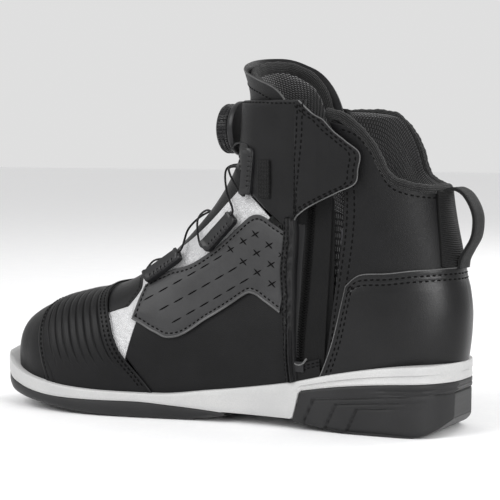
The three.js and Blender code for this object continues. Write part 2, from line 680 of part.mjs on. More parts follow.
function zipPull() {
  const tall = 13;
  const geometry = chamferedPlate(4.2, tall, 0.9, 1.3);
  return geometry.translate(SLIDER.x - 0.1, SLIDER.y - 0.2, SLIDER.z - SLIDER.tall / 2 - GAP - tall / 2);
}

add('zip_tape_front', zipStrip(tapeFront, besideZip(-2.5), [-1.2, -0.4]), FINISH.webbing());
add('zip_tape_rear', zipStrip(besideZip(2.5), tapeRear, [-1.2, -0.4]), FINISH.webbing());
add('zip_teeth_front', zipStrip(besideZip(-2.1), besideZip(-0.2), [-1.2, 0.8]), FINISH.plastic());
add('zip_teeth_rear', zipStrip(besideZip(0.2), besideZip(2.1), [-1.2, 0.8]), FINISH.plastic());
add('zip_facing', zipFacing(), FINISH.softLeather());
add('storm_flap', stormFlap(), FINISH.webbing());
add('zip_lower_stop', stopBlock(36.5, 6), FINISH.plastic());
add('zip_upper_stop', stopBlock(167, 4), FINISH.plastic());
add('zip_slider', chamferedPlate(SLIDER.width, SLIDER.tall, SLIDER.thick, 1.2)
  .translate(SLIDER.x, SLIDER.y, SLIDER.z), FINISH.steel());
add('zip_pull', zipPull(), FINISH.steel());

// The flap stands clear of the slider over the zip and comes down to its hook patch behind it.
const flapStand = profile([[-46.5, 2.9], [-41.5, 7], [-31, 7], [-22, 5], [-6, 4.6]]);

function closureFlap() {
  const hinge = [[-39.8, 187], [-41, 178], [-43, 163], [-44.8, 148], [-46, 134], [-46.6, 122.5]];
  const rear = [[-36.5, 186], [-21, 173.5], [-6.5, 158.5], [-9.5, 142], [-29, 131.5], [-43, 124]];
  const edge = (points) => points.map(([x, z]) => fanPlace(x, z));
  const layer = [(p) => flapStand(p.x), (p) => flapStand(p.x) + 1.3];
  return sheet(between(edge(hinge), edge(rear)), layer, 12, 7);
}

function patch(layer) {
  const edge = (z) => [-22, -10.5].map((x) => fanPlace(x, z));
  return sheet(between(edge(143), edge(160)), layer, 2, 2);
}

add('closure_flap', closureFlap(), FINISH.softLeather());
add('hook_patch', patch([(p) => flapStand(p.x) - 1.4, (p) => flapStand(p.x) - GAP]), FINISH.webbing());
add('loop_patch', patch([0.5, 1.5]), FINISH.webbing());

// ---------------------------------------------------------------- dial
const DIAL_BACK = -98.6;        // x of the dial's back plate
const turned = (profilePoints, segments) => {
  const outline = profilePoints.map((p) => new THREE.Vector2(...p));
  if (THREE.ShapeUtils.isClockWise(outline)) outline.reverse();
  const geometry = new THREE.LatheGeometry(outline, segments);
  return geometry.rotateZ(Math.PI / 2).translate(DIAL_BACK, 0, DIAL_HEIGHT);
};

// Profiles are [radius, distance in front of the back plate].
function dialBase() {
  return turned([[0, 0], [16.2, 0], [16.2, 3.4], [15.2, 4.4], [12.6, 4.4], [12.6, 1.4], [0, 1.4]], 24);
}

function dialSpool() {
  return turned([[0, 1.8], [11.8, 1.8], [11.8, 2.6], [8.5, 2.9], [8.5, 3.6], [11.8, 3.9], [11.8, 4.6], [3, 4.6],
    [3, 10.4], [0, 10.4]], 20);
}

function dialRatchet() {
  return turned([[9.6, 5.0], [11.6, 5.0], [11.6, 7.2], [9.6, 7.2], [9.6, 5.0]], 20);
}

function dialKnob() {
  const rim = DIAL_RADIUS;
  return turned([[3.4, 9.2], [3.4, 11.2], [11.6, 11.2], [11.6, 12.4], [rim - 1.2, 12.4], [rim, 11.4], [rim, 5.4],
    [rim - 0.8, 4.8], [12.4, 4.8], [12.4, 9.2], [3.4, 9.2]], 28);
}

function dialCap() {
  return turned([[0, 11.6], [11.2, 11.6], [11.2, 12.6], [9.5, 13.2], [0, 13.6]], 24);
}

add('dial_base', dialBase(), FINISH.plastic());
add('dial_spool', dialSpool(), FINISH.plastic());
add('dial_ratchet', dialRatchet(), FINISH.steel());
add('dial_knob', dialKnob(), FINISH.plastic());
add('dial_cap', dialCap(), FINISH.plastic());

// ---------------------------------------------------------------- lace guides and lace
// Each guide is a channel whose mouth faces the middle of the throat. Its seat is a place in side view,
// its run the direction along it, and its lift the layer that it stands on.
const GUIDES = [
  { name: 'upper', x: -78, z: 147, run: [2, 27], lift: 1.8 },
  { name: 'middle', x: -97.5, z: 111, run: [19, 19], lift: 2.3 },
  { name: 'lower', x: -136, z: 88.5, run: [22, 15], lift: 2.3 },
];
const CHANNEL = { base: 4.6, wall: 1.2, depth: 9, height: 4.4 };

function guideFrame({ x, z, run }, side) {
  const seat = castRay({ origin: new THREE.Vector3(x, 0, z), direction: new THREE.Vector3(0, -side, 0) }, 90);
  const normal = lastNormal(seat);
  const ends = [-0.5, 0.5].map((t) => {
    const place = fanPlace(x + run[0] * t, z + run[1] * t, side);
    return castRay(fanRay(place));
  });
  const along = ends[1].clone().sub(ends[0]).normalize();
  const across = new THREE.Vector3().crossVectors(along, normal).normalize();
  if (across.y * side < 0) across.negate();
  const out = new THREE.Vector3().crossVectors(across, along).normalize();
  if (out.dot(normal) < 0) out.negate();
  const centre = ends[0].clone().add(ends[1]).multiplyScalar(0.5);
  centre.addScaledVector(out, Math.max(seat.clone().sub(centre).dot(out), 0));
  return { centre, along, across, out };
}

function framePoint({ centre, along, across, out }, a, b, c) {
  return centre.clone().addScaledVector(along, a).addScaledVector(across, b).addScaledVector(out, c);
}

function laceGuide(guide, side) {
  const frame = guideFrame(guide, side);
  const { base, wall, depth, height } = CHANNEL;
  const back = -base;
  const lift = guide.lift;
  const section = [[back, 0], [depth - base, 0], [depth - base, wall], [back + wall, wall],
    [back + wall, height - wall], [depth - base - 1, height - wall], [depth - base - 1, height],
    [back + 0.8, height], [back, height - 0.8]];
  const rings = [-0.5, -0.46, 0.46, 0.5].map((t) => {
    const shy = Math.abs(t) > 0.47 ? 0.5 : 0;
    return section.map(([b, c]) => framePoint(frame, t * GUIDE_LENGTH, b + (b < 0 ? shy : 0), c + lift));
  });
  return channelLoft(rings);
}

// Skins a channel section, which isn't convex, with ends triangulated by its outline.
function channelLoft(rings) {
  const count = rings[0].length;
  const flat = rings[0].map((p) => {
    const origin = rings[0][0];
    const xAxis = rings[0][1].clone().sub(origin).normalize();
    const zAxis = rings.at(-1)[0].clone().sub(origin).normalize();
    const yAxis = new THREE.Vector3().crossVectors(zAxis, xAxis);
    const v = p.clone().sub(origin);
    return new THREE.Vector2(v.dot(xAxis), v.dot(yAxis));
  });
  const ends = THREE.ShapeUtils.triangulateShape(flat, []);
  const clockwise = THREE.ShapeUtils.isClockWise(flat);
  const vertices = rings.flat();
  const faces = [];
  for (let i = 0; i < rings.length - 1; i += 1) {
    for (let j = 0; j < count; j += 1) {
      const a = i * count + j;
      const b = i * count + (j + 1) % count;
      const pair = [[a, b, b + count], [a, b + count, a + count]];
      faces.push(...(clockwise ? pair.map(([p, q, r]) => [p, r, q]) : pair));
    }
  }
  const shift = (rings.length - 1) * count;
  for (const [a, b, c] of ends) {
    faces.push([a, c, b], [a + shift, b + shift, c + shift]);
  }
  return closedSolid(vertices, faces);
}

function guideTab(side) {
  const edge = (x) => [133, 143, 153].map((z) => fanPlace(x, z, side));
  return sheet(between(edge(-70), edge(-64)), [1.9, 2.8], 4, 1);
}

for (const [name, side] of sides) {
  for (const guide of GUIDES) add(`lace_guide_${guide.name}_${name}`, laceGuide(guide, side), FINISH.plastic());
  add(`guide_tab_${name}`, guideTab(side), FINISH.webbing());
}

// The lace leaves the dial, runs down through each guide in turn, crossing the throat between them, goes
// across at the bottom and comes back up the other way.
function laceRoute() {
  const [upper, middleGuide, lower] = GUIDES;
  const through = (guide, side, ends) => ends.map((t) => {
    const frame = guideFrame(guide, side);
    const inside = CHANNEL.depth - CHANNEL.base - 3.2;
    return framePoint(frame, t * GUIDE_LENGTH, inside, guide.lift + CHANNEL.height / 2);
  });
  const over = (s, turn, lift) => lastPoint([s, turn], lift);
  const down = [0.62, 0.3, -0.3, -0.62];
  const up = down.toReversed();
  const exit = (side) => new THREE.Vector3(DIAL_BACK - 2.6, -12.4 * side, DIAL_HEIGHT - 12.4);
  return [
    exit(1), over(2.77, 17, 3.8),
    ...through(upper, 1, down), over(2.50, 14, 2.6), over(2.46, -8, 2.6), over(2.42, -24, 3.4),
    ...through(middleGuide, -1, down), over(2.12, -24, 3.0), over(2.08, 0, 2.2), over(2.04, 22, 3.0),
    ...through(lower, 1, down), over(1.72, 26, 3.0), over(1.705, 0, 3.2), over(1.72, -26, 3.0),
    ...through(lower, -1, up), over(2.04, -22, 4.2), over(2.08, 0, 4.8), over(2.12, 24, 4.2),
    ...through(middleGuide, 1, up), over(2.42, 24, 4.4), over(2.46, 8, 5.2), over(2.50, -14, 5.2),
    ...through(upper, -1, up), over(2.77, -17, 3.8), exit(-1),
  ];
}

function lace() {
  const path = new THREE.CatmullRomCurve3(laceRoute(), false, 'centripetal');
  const section = new THREE.Shape(spaced(0, 1, 7).map((t) => {
    const angle = t * 7 / 8 * Math.PI * 2;
    return new THREE.Vector2(Math.cos(angle) * LACE_RADIUS, Math.sin(angle) * LACE_RADIUS);
  }));
  return new THREE.ExtrudeGeometry(section, { steps: 80, extrudePath: path, bevelEnabled: false });
}

add('lace', lace(), FINISH.cord());

export default boot;
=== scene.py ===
"""A right-foot riding boot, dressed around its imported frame.

Sizes of the last and of the patterns are in millimetres and become metres when a mesh is made.
+Z is up, the toe points to -X and the inner (medial) side faces -Y.
"""

import logging
import math
from dataclasses import dataclass, field
from enum import Enum
from functools import cached_property
from typing import Callable, Iterable, Sequence

import bpy
import numpy as np
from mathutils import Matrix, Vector


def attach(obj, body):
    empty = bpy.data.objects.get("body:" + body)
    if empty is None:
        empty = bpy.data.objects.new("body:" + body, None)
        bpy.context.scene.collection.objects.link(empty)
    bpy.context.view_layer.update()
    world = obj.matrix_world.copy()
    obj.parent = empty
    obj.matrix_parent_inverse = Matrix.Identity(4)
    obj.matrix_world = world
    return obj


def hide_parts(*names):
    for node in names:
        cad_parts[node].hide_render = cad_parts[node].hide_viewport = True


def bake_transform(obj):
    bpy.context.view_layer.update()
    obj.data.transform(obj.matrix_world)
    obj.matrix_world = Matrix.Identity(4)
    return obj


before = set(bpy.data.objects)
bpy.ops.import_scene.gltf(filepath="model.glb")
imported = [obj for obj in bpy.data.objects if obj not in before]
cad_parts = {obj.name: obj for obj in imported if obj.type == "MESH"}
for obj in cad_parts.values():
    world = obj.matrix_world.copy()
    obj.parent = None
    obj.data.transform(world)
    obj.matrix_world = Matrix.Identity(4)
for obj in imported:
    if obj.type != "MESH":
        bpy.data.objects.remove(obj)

LOG = logging.getLogger("riding_boot")
MM = 0.001
Place = tuple[float, float]
Array = np.ndarray


class Side(Enum):
    """The inner and the outer side of the boot."""

    MEDIAL = 1
    LATERAL = -1

    @property
    def word(self) -> str:
        """The side's name in lower case, as the frame's nodes have it."""
        return self.name.lower()


class Rim(Enum):
    """The four edges of a panel."""

    FIRST = "first"
    LAST = "last"
    START = "start"
    END = "end"


# ------------------------------------------------------------------ lines and the last
class Profile:
    """A smooth line through given points that never overshoots them."""

    def __init__(self, *points: tuple[float, float]) -> None:
        """Fits the line.

        Args:
            points: pairs of position and value, in order of position.
        """
        self.at, self.value = (np.array(column, float) for column in zip(*points))
        self.step = np.diff(self.at)
        slope = np.diff(self.value) / self.step
        before, after = slope[:-1], slope[1:]
        mean = (before * self.step[1:] + after * self.step[:-1]) / (self.step[:-1] + self.step[1:])
        limit = 3 * np.minimum(abs(before), abs(after))
        inner = np.where(before * after <= 0, 0, np.sign(mean) * np.minimum(abs(mean), limit))
        self.tangent = np.concatenate([slope[:1], inner, slope[-1:]])

    def __call__(self, t: float | Array) -> Array:
        """Reads the line at t, going on straight past its ends.

        Args:
            t: one or more positions.

        Returns:
            The values there.
        """
        t = np.asarray(t, float)
        i = np.clip(np.searchsorted(self.at, t) - 1, 0, len(self.step) - 1)
        u = (t - self.at[i]) / self.step[i]
        rise = self.value[i + 1] - self.value[i]
        bow = (1 - u) * self.tangent[i] - u * self.tangent[i + 1]
        core = self.value[i] + u * u * (3 - 2 * u) * rise + self.step[i] * u * (1 - u) * bow
        low = self.value[0] + (t - self.at[0]) * self.tangent[0]
        high = self.value[-1] + (t - self.at[-1]) * self.tangent[-1]
        return np.where(t <= self.at[0], low, np.where(t >= self.at[-1], high, core))


def smooth_step(t: Array, low: float, high: float) -> Array:
    """Goes smoothly from 0 at low to 1 at high."""
    u = np.clip((t - low) / (high - low), 0, 1)
    return u * u * (3 - 2 * u)


def groove(distance: Array, width: float) -> Array:
    """A rounded groove, 1 deep at its middle and shallow by width away."""
    return np.exp(-((distance / width) ** 2))


def curve_through(points: Sequence[Sequence[float]], t: Array) -> Array:
    """Reads a spline through points that are evenly spaced in t.

    Args:
        points: two or more points of any dimension.
        t: positions from 0 to 1.

    Returns:
        One row for each position.
    """
    p = np.array(points, float)
    n = len(p)
    at = np.clip(t, 0, 1) * (n - 1)
    i = np.minimum(at.astype(int), n - 2)
    w = (at - i)[:, None]
    p0, p1, p2, p3 = p[np.maximum(i - 1, 0)], p[i], p[i + 1], p[np.minimum(i + 2, n - 1)]
    m1, m2 = (p2 - p0) / 2, (p3 - p1) / 2
    return (2 * p1 - 2 * p2 + m1 + m2) * w**3 + (3 * p2 - 3 * p1 - 2 * m1 - m2) * w**2 + m1 * w + p1


def unit(v: Array) -> Array:
    """Rows of v at length 1."""
    return v / np.maximum(np.linalg.norm(v, axis=-1, keepdims=True), 1e-9)


def steps_of(line: Array) -> Array:
    """The distances between the points of a line."""
    return np.linalg.norm(np.diff(line, axis=0), axis=1)


def walk(line: Array) -> Array:
    """How far each point of a line lies from its start, along it."""
    return np.concatenate([[0], np.cumsum(steps_of(line))])


@dataclass
class Last:
    """The foot form that the upper is pulled over, and the fan of rays that lays patterns on it."""

    feather: Profile = field(default_factory=lambda: Profile(
        (-262, 34), (-240, 24), (-210, 17.5), (-175, 14.5), (-136, 14), (-104, 17.5), (-76, 21.5),
        (-50, 26), (-20, 33), (15, 38.5), (40, 40)))
    ridge: Profile = field(default_factory=lambda: Profile(
        (-256, 38), (-247, 50), (-235, 59), (-218, 66.5), (-200, 71.5), (-185, 75), (-165, 83),
        (-146, 96.5), (-123, 116.5), (-100, 137), (-60, 165)))
    foot_medial: Profile = field(default_factory=lambda: Profile(
        (-251, 9), (-248, 17), (-241, 27.5), (-228, 38), (-208, 46), (-180, 49), (-150, 45),
        (-110, 36), (-70, 32), (-30, 30), (0, 28), (30, 22)))
    foot_lateral: Profile = field(default_factory=lambda: Profile(
        (-251, 9), (-248, 17), (-241, 27.5), (-228, 38), (-208, 47), (-180, 52), (-150, 52),
        (-110, 46), (-70, 40), (-30, 34), (0, 28), (30, 22)))
    middle: Profile = field(default_factory=lambda: Profile(
        (-262, -8), (-220, -4), (-180, 0), (-100, 2), (-40, 0), (40, 0)))
    shaft_front: Profile = field(default_factory=lambda: Profile(
        (20, -150), (60, -135), (100, -119), (130, -104), (160, -96), (200, -92), (240, -90)))
    shaft_back: Profile = field(default_factory=lambda: Profile(
        (25, 36), (45, 39), (65, 40), (90, 36), (105, 32.5), (120, 29), (140, 26.5), (180, 27), (240, 31)))
    shaft_medial: Profile = field(default_factory=lambda: Profile(
        (20, 34), (50, 36), (75, 34), (100, 33), (130, 34), (160, 37), (200, 42), (240, 44)))
    shaft_lateral: Profile = field(default_factory=lambda: Profile(
        (20, 34), (50, 36), (75, 35), (100, 35), (130, 36), (160, 39), (200, 43), (240, 45)))
    blend: float = 16.0
    waist_share: float = 0.22
    sole_depth: float = 60.0
    heel_from: float = -60.0
    heel_length: float = 76.0
    tip_from: float = -235.0
    tip_length: float = 16.5
    foot_power: float = 2.6
    crown_power: float = 2.2
    foot_root: float = 2.4
    shaft_shift: float = 8.0
    shaft_power: float = 2.3
    toe_centre: tuple[float, float, float] = (-212.0, -3.0, 40.0)
    turn_x: float = -130.0
    turn_z: float = 178.0
    turn_radius: float = 110.0
    turn_shrink: float = 5.0
    turn_rise: float = 60.0

    def foot_field(self, p: Array) -> Array:
        """Roughly the distance outside the foot part, below 0 inside it."""
        x, y, z = p.T
        low, high = self.feather(x), self.ridge(x)
        off = y - self.middle(x)
        width = np.maximum(np.where(off < 0, self.foot_medial(x), self.foot_lateral(x)), 4)
        waist = low + self.waist_share * (high - low)
        span = np.maximum(high - waist, 1)
        up = np.maximum(z - waist, 0) / span
        down = np.maximum(waist - z, 0) / self.sole_depth
        back = np.maximum(x - self.heel_from, 0) / self.heel_length
        tip = np.maximum(self.tip_from - x, 0) / self.tip_length
        power = self.foot_power
        total = (abs(off) / width) ** power + up**self.crown_power + down**power + back**power + tip**4
        return (total ** (1 / self.foot_root) - 1) * np.minimum(width, span)

    def shaft_field(self, p: Array) -> Array:
        """Roughly the distance outside the shaft, below 0 inside it."""
        x, y, z = p.T
        front, back = self.shaft_front(z), self.shaft_back(z)
        centre = (front + back) / 2 + self.shaft_shift
        reach = np.where(x > centre, back - centre, centre - front)
        width = np.where(y < 0, self.shaft_medial(z), self.shaft_lateral(z))
        total = (abs(y) / width) ** self.shaft_power + (abs(x - centre) / reach) ** self.shaft_power
        return (total ** (1 / self.shaft_power) - 1) * np.minimum(width, reach)

    def outside(self, p: Array) -> Array:
        """Foot and shaft joined softly: below 0 inside the last."""
        foot, shaft = self.foot_field(p), self.shaft_field(p)
        near = np.maximum(self.blend - abs(foot - shaft), 0) / self.blend
        return np.minimum(foot, shaft) - near * near * self.blend / 4

    def cast(self, origin: Array, direction: Array, reach: float = 260.0) -> Array:
        """Follows rays from inside the last to its surface.

        Args:
            origin: the start of each ray.
            direction: its direction, at length 1.
            reach: where a ray gives up.

        Returns:
            The points on the surface.
        """
        stride = 4.0
        inside = np.zeros(len(origin))
        outer = np.full(len(origin), stride)
        live = np.arange(len(origin))
        while len(live):
            still = self.outside(origin[live] + direction[live] * outer[live, None]) < 0
            live = live[still & (outer[live] < reach)]
            inside[live] = outer[live]
            outer[live] += stride
        for _ in range(16):
            half = (inside + outer) / 2
            out = self.outside(origin + direction * half[:, None]) > 0
            outer, inside = np.where(out, half, outer), np.where(out, inside, half)
        return origin + direction * ((inside + outer) / 2)[:, None]

    def normal(self, p: Array, step: float = 0.6) -> Array:
        """The outward direction of the surface at points p."""
        slope = [self.outside(p + shift) - self.outside(p - shift) for shift in np.eye(3) * step]
        return unit(np.stack(slope, axis=1))

    def ray(self, s: Array, turn: Array) -> tuple[Array, Array]:
        """The rays of the fan.

        Args:
            s: 0 at the toe, 1 to 2 along the foot, 2 to 3 round the instep, above 3 up the shaft.
            turn: degrees round the section: 0 in front, 90 inner side, -90 outer side, 180 behind.

        Returns:
            Their origins and directions.
        """
        angle, dip = np.radians(turn), (s - 1) * math.pi / 2
        cos, sin = np.cos(angle), np.sin(angle)
        share = np.clip(s - 2, 0, 1)
        phi, radius = share * math.pi / 2, self.turn_radius - self.turn_shrink * share
        rise = np.maximum(s - 3, 0) * self.turn_rise
        origin = np.stack([self.turn_x + radius * np.sin(phi), 0 * s,
                           np.where(s > 3, self.turn_z + rise, self.turn_z - radius * np.cos(phi))], 1)
        toe = np.array(self.toe_centre)
        origin = origin + (toe - origin) * np.clip(2 - s, 0, 1)[:, None]
        direction = np.stack([-np.sin(phi) * cos, -sin, np.cos(phi) * cos], 1)
        nose = np.stack([np.sin(dip), -sin * np.cos(dip), cos * np.cos(dip)], 1)
        return origin, np.where((s < 1)[:, None], nose, direction)

    def surface(self, places: Array) -> Array:
        """Points on the last at places of the fan, one row [s, turn] each."""
        places = np.atleast_2d(np.asarray(places, float))
        return self.cast(*self.ray(places[:, 0], places[:, 1]))

    def place(self, x: float, z: float, side: Side = Side.MEDIAL) -> Place:
        """The place in the fan of a point given in side view.

        Args:
            x: its position along the boot.
            z: its height.
            side: the side of the boot that it lies on.

        Returns:
            The pair (s, turn).
        """
        start = np.array([[x, 0.0, z]])
        p = self.cast(start, np.array([[0.0, -side.value, 0.0]]), 90.0)[0]
        tx, ty, tz = self.toe_centre
        if p[0] < tx:
            v = p - np.array(self.toe_centre)
            dip = math.atan2(v[0], math.hypot(v[1], v[2]))
            return 1 + dip / (math.pi / 2), math.degrees(math.atan2(-v[1], v[2]))
        if p[0] < self.turn_x:
            t = (p[0] - tx) / (self.turn_x - tx)
            lift = p[2] - (tz + (self.turn_z - self.turn_radius - tz) * t)
            return 1 + t, math.degrees(math.atan2(ty * (1 - t) - p[1], lift))
        if p[2] > self.turn_z:
            ahead = self.turn_x + self.turn_radius - self.turn_shrink - p[0]
            return 3 + (p[2] - self.turn_z) / self.turn_rise, math.degrees(math.atan2(-p[1], ahead))
        s = 2 + math.atan2(p[0] - self.turn_x, self.turn_z - p[2]) / (math.pi / 2)
        inward = self.turn_radius - self.turn_shrink * (s - 2)
        inward -= math.hypot(p[0] - self.turn_x, p[2] - self.turn_z)
        return s, math.degrees(math.atan2(-p[1], inward))

    def feather_place(self, x: float, side: Side = Side.MEDIAL, lift: float = -1.0) -> Place:
        """A place at a given height above the feather line, at station x."""
        return self.place(x, float(self.feather(x)) + lift, side)

    @cached_property
    def feather_table(self) -> tuple[Array, Array]:
        """Sections of the fan, and the turn at which each meets the feather line on both sides."""
        s = np.linspace(0.4, 2.4, 201)
        columns = []
        for side in (1.0, -1.0):
            high, low = np.full(len(s), 60.0), np.full(len(s), 175.0)
            for _ in range(14):
                half = (high + low) / 2
                p = self.surface(np.stack([s, half * side], 1))
                above = p[:, 2] > self.feather(p[:, 0]) - 1.0
                high, low = np.where(above, half, high), np.where(above, low, half)
            columns.append((high + low) / 2)
        return s, np.stack(columns)

    def feather_turn(self, s: Array, side: Array) -> Array:
        """The turn at which each section s meets the feather line.

        Args:
            s: sections of the fan.
            side: 1 or -1 for each of them.

        Returns:
            The turns in degrees, signed by side.
        """
        at, (medial, lateral) = self.feather_table
        return np.where(side > 0, np.interp(s, at, medial), -np.interp(s, at, lateral))


LAST = Last()


# ------------------------------------------------------------------ helpers on Blender objects
def flat_grid(name: str, columns: int, rows: int) -> bpy.types.Object:
    """Makes a flat grid from -1 to 1 in x and y."""
    bpy.ops.object.select_all(action="DESELECT")
    bpy.ops.mesh.primitive_grid_add(x_subdivisions=columns, y_subdivisions=rows, size=2)
    obj = bpy.context.object
    obj.name = obj.data.name = name
    return obj


def select_only(obj: bpy.types.Object) -> None:
    """Makes obj the one selected and active object."""
    bpy.ops.object.select_all(action="DESELECT")
    obj.select_set(True)
    bpy.context.view_layer.objects.active = obj


def apply_modifier(obj: bpy.types.Object, kind: str, **settings: object) -> None:
    """Adds a modifier with these settings and applies it.

    Args:
        obj: the object it shapes.
        kind: Blender's name for the modifier.
        settings: its properties.
    """
    select_only(obj)
    modifier = obj.modifiers.new(kind.title(), kind)
    for name, value in settings.items():
        setattr(modifier, name, value)
    bpy.ops.object.modifier_apply(modifier=modifier.name)


def read_points(obj: bpy.types.Object) -> Array:
    """The object's vertices in metres, one row each."""
    flat = np.empty(len(obj.data.vertices) * 3, np.float32)
    obj.data.vertices.foreach_get("co", flat)
    return flat.reshape(-1, 3).astype(float)


def write_points(obj: bpy.types.Object, points: Array) -> None:
    """Moves the object's vertices to these points in metres."""
    obj.data.vertices.foreach_set("co", np.asarray(points, np.float32).ravel())
    obj.data.update()


def write_map(obj: bpy.types.Object, layer: bpy.types.MeshUVLoopLayer, places: Array) -> None:
    """Writes a UV map in metres from one place in millimetres for each vertex."""
    corner = np.empty(len(obj.data.loops), np.int32)
    obj.data.loops.foreach_get("vertex_index", corner)
    layer.data.foreach_set("uv", (places[corner] * MM).astype(np.float32).ravel())


def smooth(obj: bpy.types.Object, degrees: float = 40.0) -> None:
    """Shades obj smooth, but for edges sharper than an angle."""
    select_only(obj)
    bpy.ops.object.shade_smooth_by_angle(angle=math.radians(degrees))


def recalculate(obj: bpy.types.Object, merge: float = 1e-6) -> None:
    """Merges vertices in one place and turns every face outwards."""
    select_only(obj)
    bpy.ops.object.mode_set(mode="EDIT")
    bpy.ops.mesh.select_all(action="SELECT")
    bpy.ops.mesh.remove_doubles(threshold=merge)
    bpy.ops.mesh.normals_make_consistent(inside=False)
    bpy.ops.object.mode_set(mode="OBJECT")


def settle(obj: bpy.types.Object) -> None:
    """Puts the object's place into its mesh."""
    select_only(obj)
    bpy.ops.object.transform_apply(location=True, rotation=True, scale=True)


def mesh_object(name: str, vertices: Array, faces: Iterable[Sequence[int]]) -> bpy.types.Object:
    """Makes an object from points in millimetres.

    Args:
        name: the piece's name.
        vertices: one row for each point.
        faces: corner numbers of each face.

    Returns:
        The new object.
    """
    mesh = bpy.data.meshes.new(name)
    mesh.from_pydata((np.asarray(vertices) * MM).tolist(), [], [tuple(f) for f in faces])
    obj = bpy.data.objects.new(name, mesh)
    bpy.context.scene.collection.objects.link(obj)
    return obj


def dress(obj: bpy.types.Object, *materials: bpy.types.Material) -> None:
    """Gives obj these materials, in the order of its slots."""
    obj.data.materials.clear()
    for material in materials:
        obj.data.materials.append(material)


def hand_over(obj: bpy.types.Object, body: str, slot: str, *nodes: str) -> None:
    """Puts a finished piece on its body and hides the frame's nodes that it replaces.

    Args:
        obj: the finished piece.
        body: the body that it moves with.
        slot: not used.
        nodes: the frame's nodes that it replaces.
    """
    if nodes:
        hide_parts(*nodes)
    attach(obj, body)
    LOG.info("%s: %d faces on %s", obj.name, len(obj.data.polygons), body)


def deliver(obj: bpy.types.Object, materials: Sequence[bpy.types.Material], body: str, slot: str,
            *nodes: str) -> None:
    """Dresses a finished piece and hands it over.

    Args:
        obj: the finished piece.
        materials: its materials, in the order of its slots.
        body: the body that it moves with.
        slot: not used.
        nodes: the frame's nodes that it replaces.
    """
    dress(obj, *materials)
    hand_over(obj, body, slot, *nodes)


# ------------------------------------------------------------------ finishes
def linear(colour: str) -> tuple[float, float, float, float]:
    """Turns an sRGB hex colour to the linear values that shaders take."""
    parts = [int(colour[i:i + 2], 16) / 255 for i in (1, 3, 5)]
    return (*[c / 12.92 if c <= 0.04045 else ((c + 0.055) / 1.055) ** 2.4 for c in parts], 1.0)


def add_node(tree: bpy.types.NodeTree, kind: str, settings: dict | None = None,
             links: dict | None = None) -> bpy.types.Node:
    """Adds a node with its settings and links.

    Args:
        tree: the material's node tree.
        kind: the node's type name, without its ShaderNode prefix.
        settings: properties by name, and socket values by socket name or number.
        links: sockets of other nodes by the name or number of the input that they feed.

    Returns:
        The node.
    """
    node = tree.nodes.new("ShaderNode" + kind)
    for name, value in (settings or {}).items():
        if isinstance(name, str) and hasattr(node, name):
            setattr(node, name, value)
        else:
            node.inputs[name].default_value = value
    for name, output in (links or {}).items():
        tree.links.new(output, node.inputs[name])
    return node


class Finish:
    """What every finish shares: a material with a shader, colour, roughness and bump of its own."""

    name: str

    def start(self, **constants: object) -> tuple[bpy.types.NodeTree, bpy.types.Node]:
        """Makes the empty material.

        Args:
            constants: values of the shader that are the same all over.

        Returns:
            Its node tree and its shader node.
        """
        material = bpy.data.materials.new(self.name)
        material.use_nodes = True
        tree = material.node_tree
        shader = tree.nodes["Principled BSDF"]
        for name, value in constants.items():
            shader.inputs[name.replace("_", " ")].default_value = value
        return tree, shader

    @staticmethod
    def link(tree: bpy.types.NodeTree, shader: bpy.types.Node, colour: bpy.types.NodeSocket,
             rough: bpy.types.NodeSocket, height: bpy.types.NodeSocket, depth: float) -> None:
        """Joins colour, roughness and height to the shader.

        Args:
            tree: the material's node tree.
            shader: its shader node.
            colour: the colour all over.
            rough: the roughness all over.
            height: the relief, from 0 to 1.
            depth: how deep that relief is, in metres.
        """
        bump = add_node(tree, "Bump", {"Strength": 1.0, "Distance": depth}, {"Height": height})
        tree.links.new(colour, shader.inputs["Base Color"])
        tree.links.new(rough, shader.inputs["Roughness"])
        tree.links.new(bump.outputs["Normal"], shader.inputs["Normal"])


@dataclass(frozen=True)
class Leather(Finish):
    """Finished cowhide or coated microfibre: a pressed pebble grain under a thin satin topcoat."""

    name: str
    colour: str
    worn: str
    grain: float = 0.8
    depth: float = 0.00006
    roughness: float = 0.5
    gloss: float = 0.16

    def make(self) -> bpy.types.Material:
        """Builds the material."""
        tree, shader = self.start(Coat_Weight=0.05, Coat_Roughness=0.35, Specular_IOR_Level=self.gloss)
        place = add_node(tree, "TexCoord").outputs["Object"]
        # Grain cells are 0.5 to 1 mm across on the real hide, and are drawn at that size.
        cells = add_node(tree, "TexVoronoi", {"feature": "DISTANCE_TO_EDGE", "Scale": 1000 / self.grain},
                         {"Vector": place})
        fine = add_node(tree, "TexNoise", {"Scale": 2600.0, "Detail": 3.0}, {"Vector": place})
        broad = add_node(tree, "TexNoise", {"Scale": 34.0, "Detail": 4.0, "Roughness": 0.6}, {"Vector": place})
        crown = add_node(tree, "MapRange", {"From Min": 0.0, "From Max": 0.35}, {"Value": cells.outputs["Distance"]})
        height = add_node(tree, "Math", {"operation": "MULTIPLY_ADD", 1: 0.35},
                          {0: fine.outputs[0], 2: crown.outputs[0]})
        tint = add_node(tree, "Mix", {"data_type": "RGBA", 6: linear(self.colour), 7: linear(self.worn)})
        share = add_node(tree, "MapRange", {"From Min": 0.38, "From Max": 0.72, "To Max": 0.55},
                         {"Value": broad.outputs[0]})
        tree.links.new(share.outputs[0], tint.inputs[0])
        rough = add_node(tree, "MapRange", {"To Min": self.roughness - 0.07, "To Max": self.roughness + 0.1},
                         {"Value": broad.outputs[0]})
        self.link(tree, shader, tint.outputs[2], rough.outputs[0], height.outputs[0], self.depth)
        return bpy.data.materials[self.name]


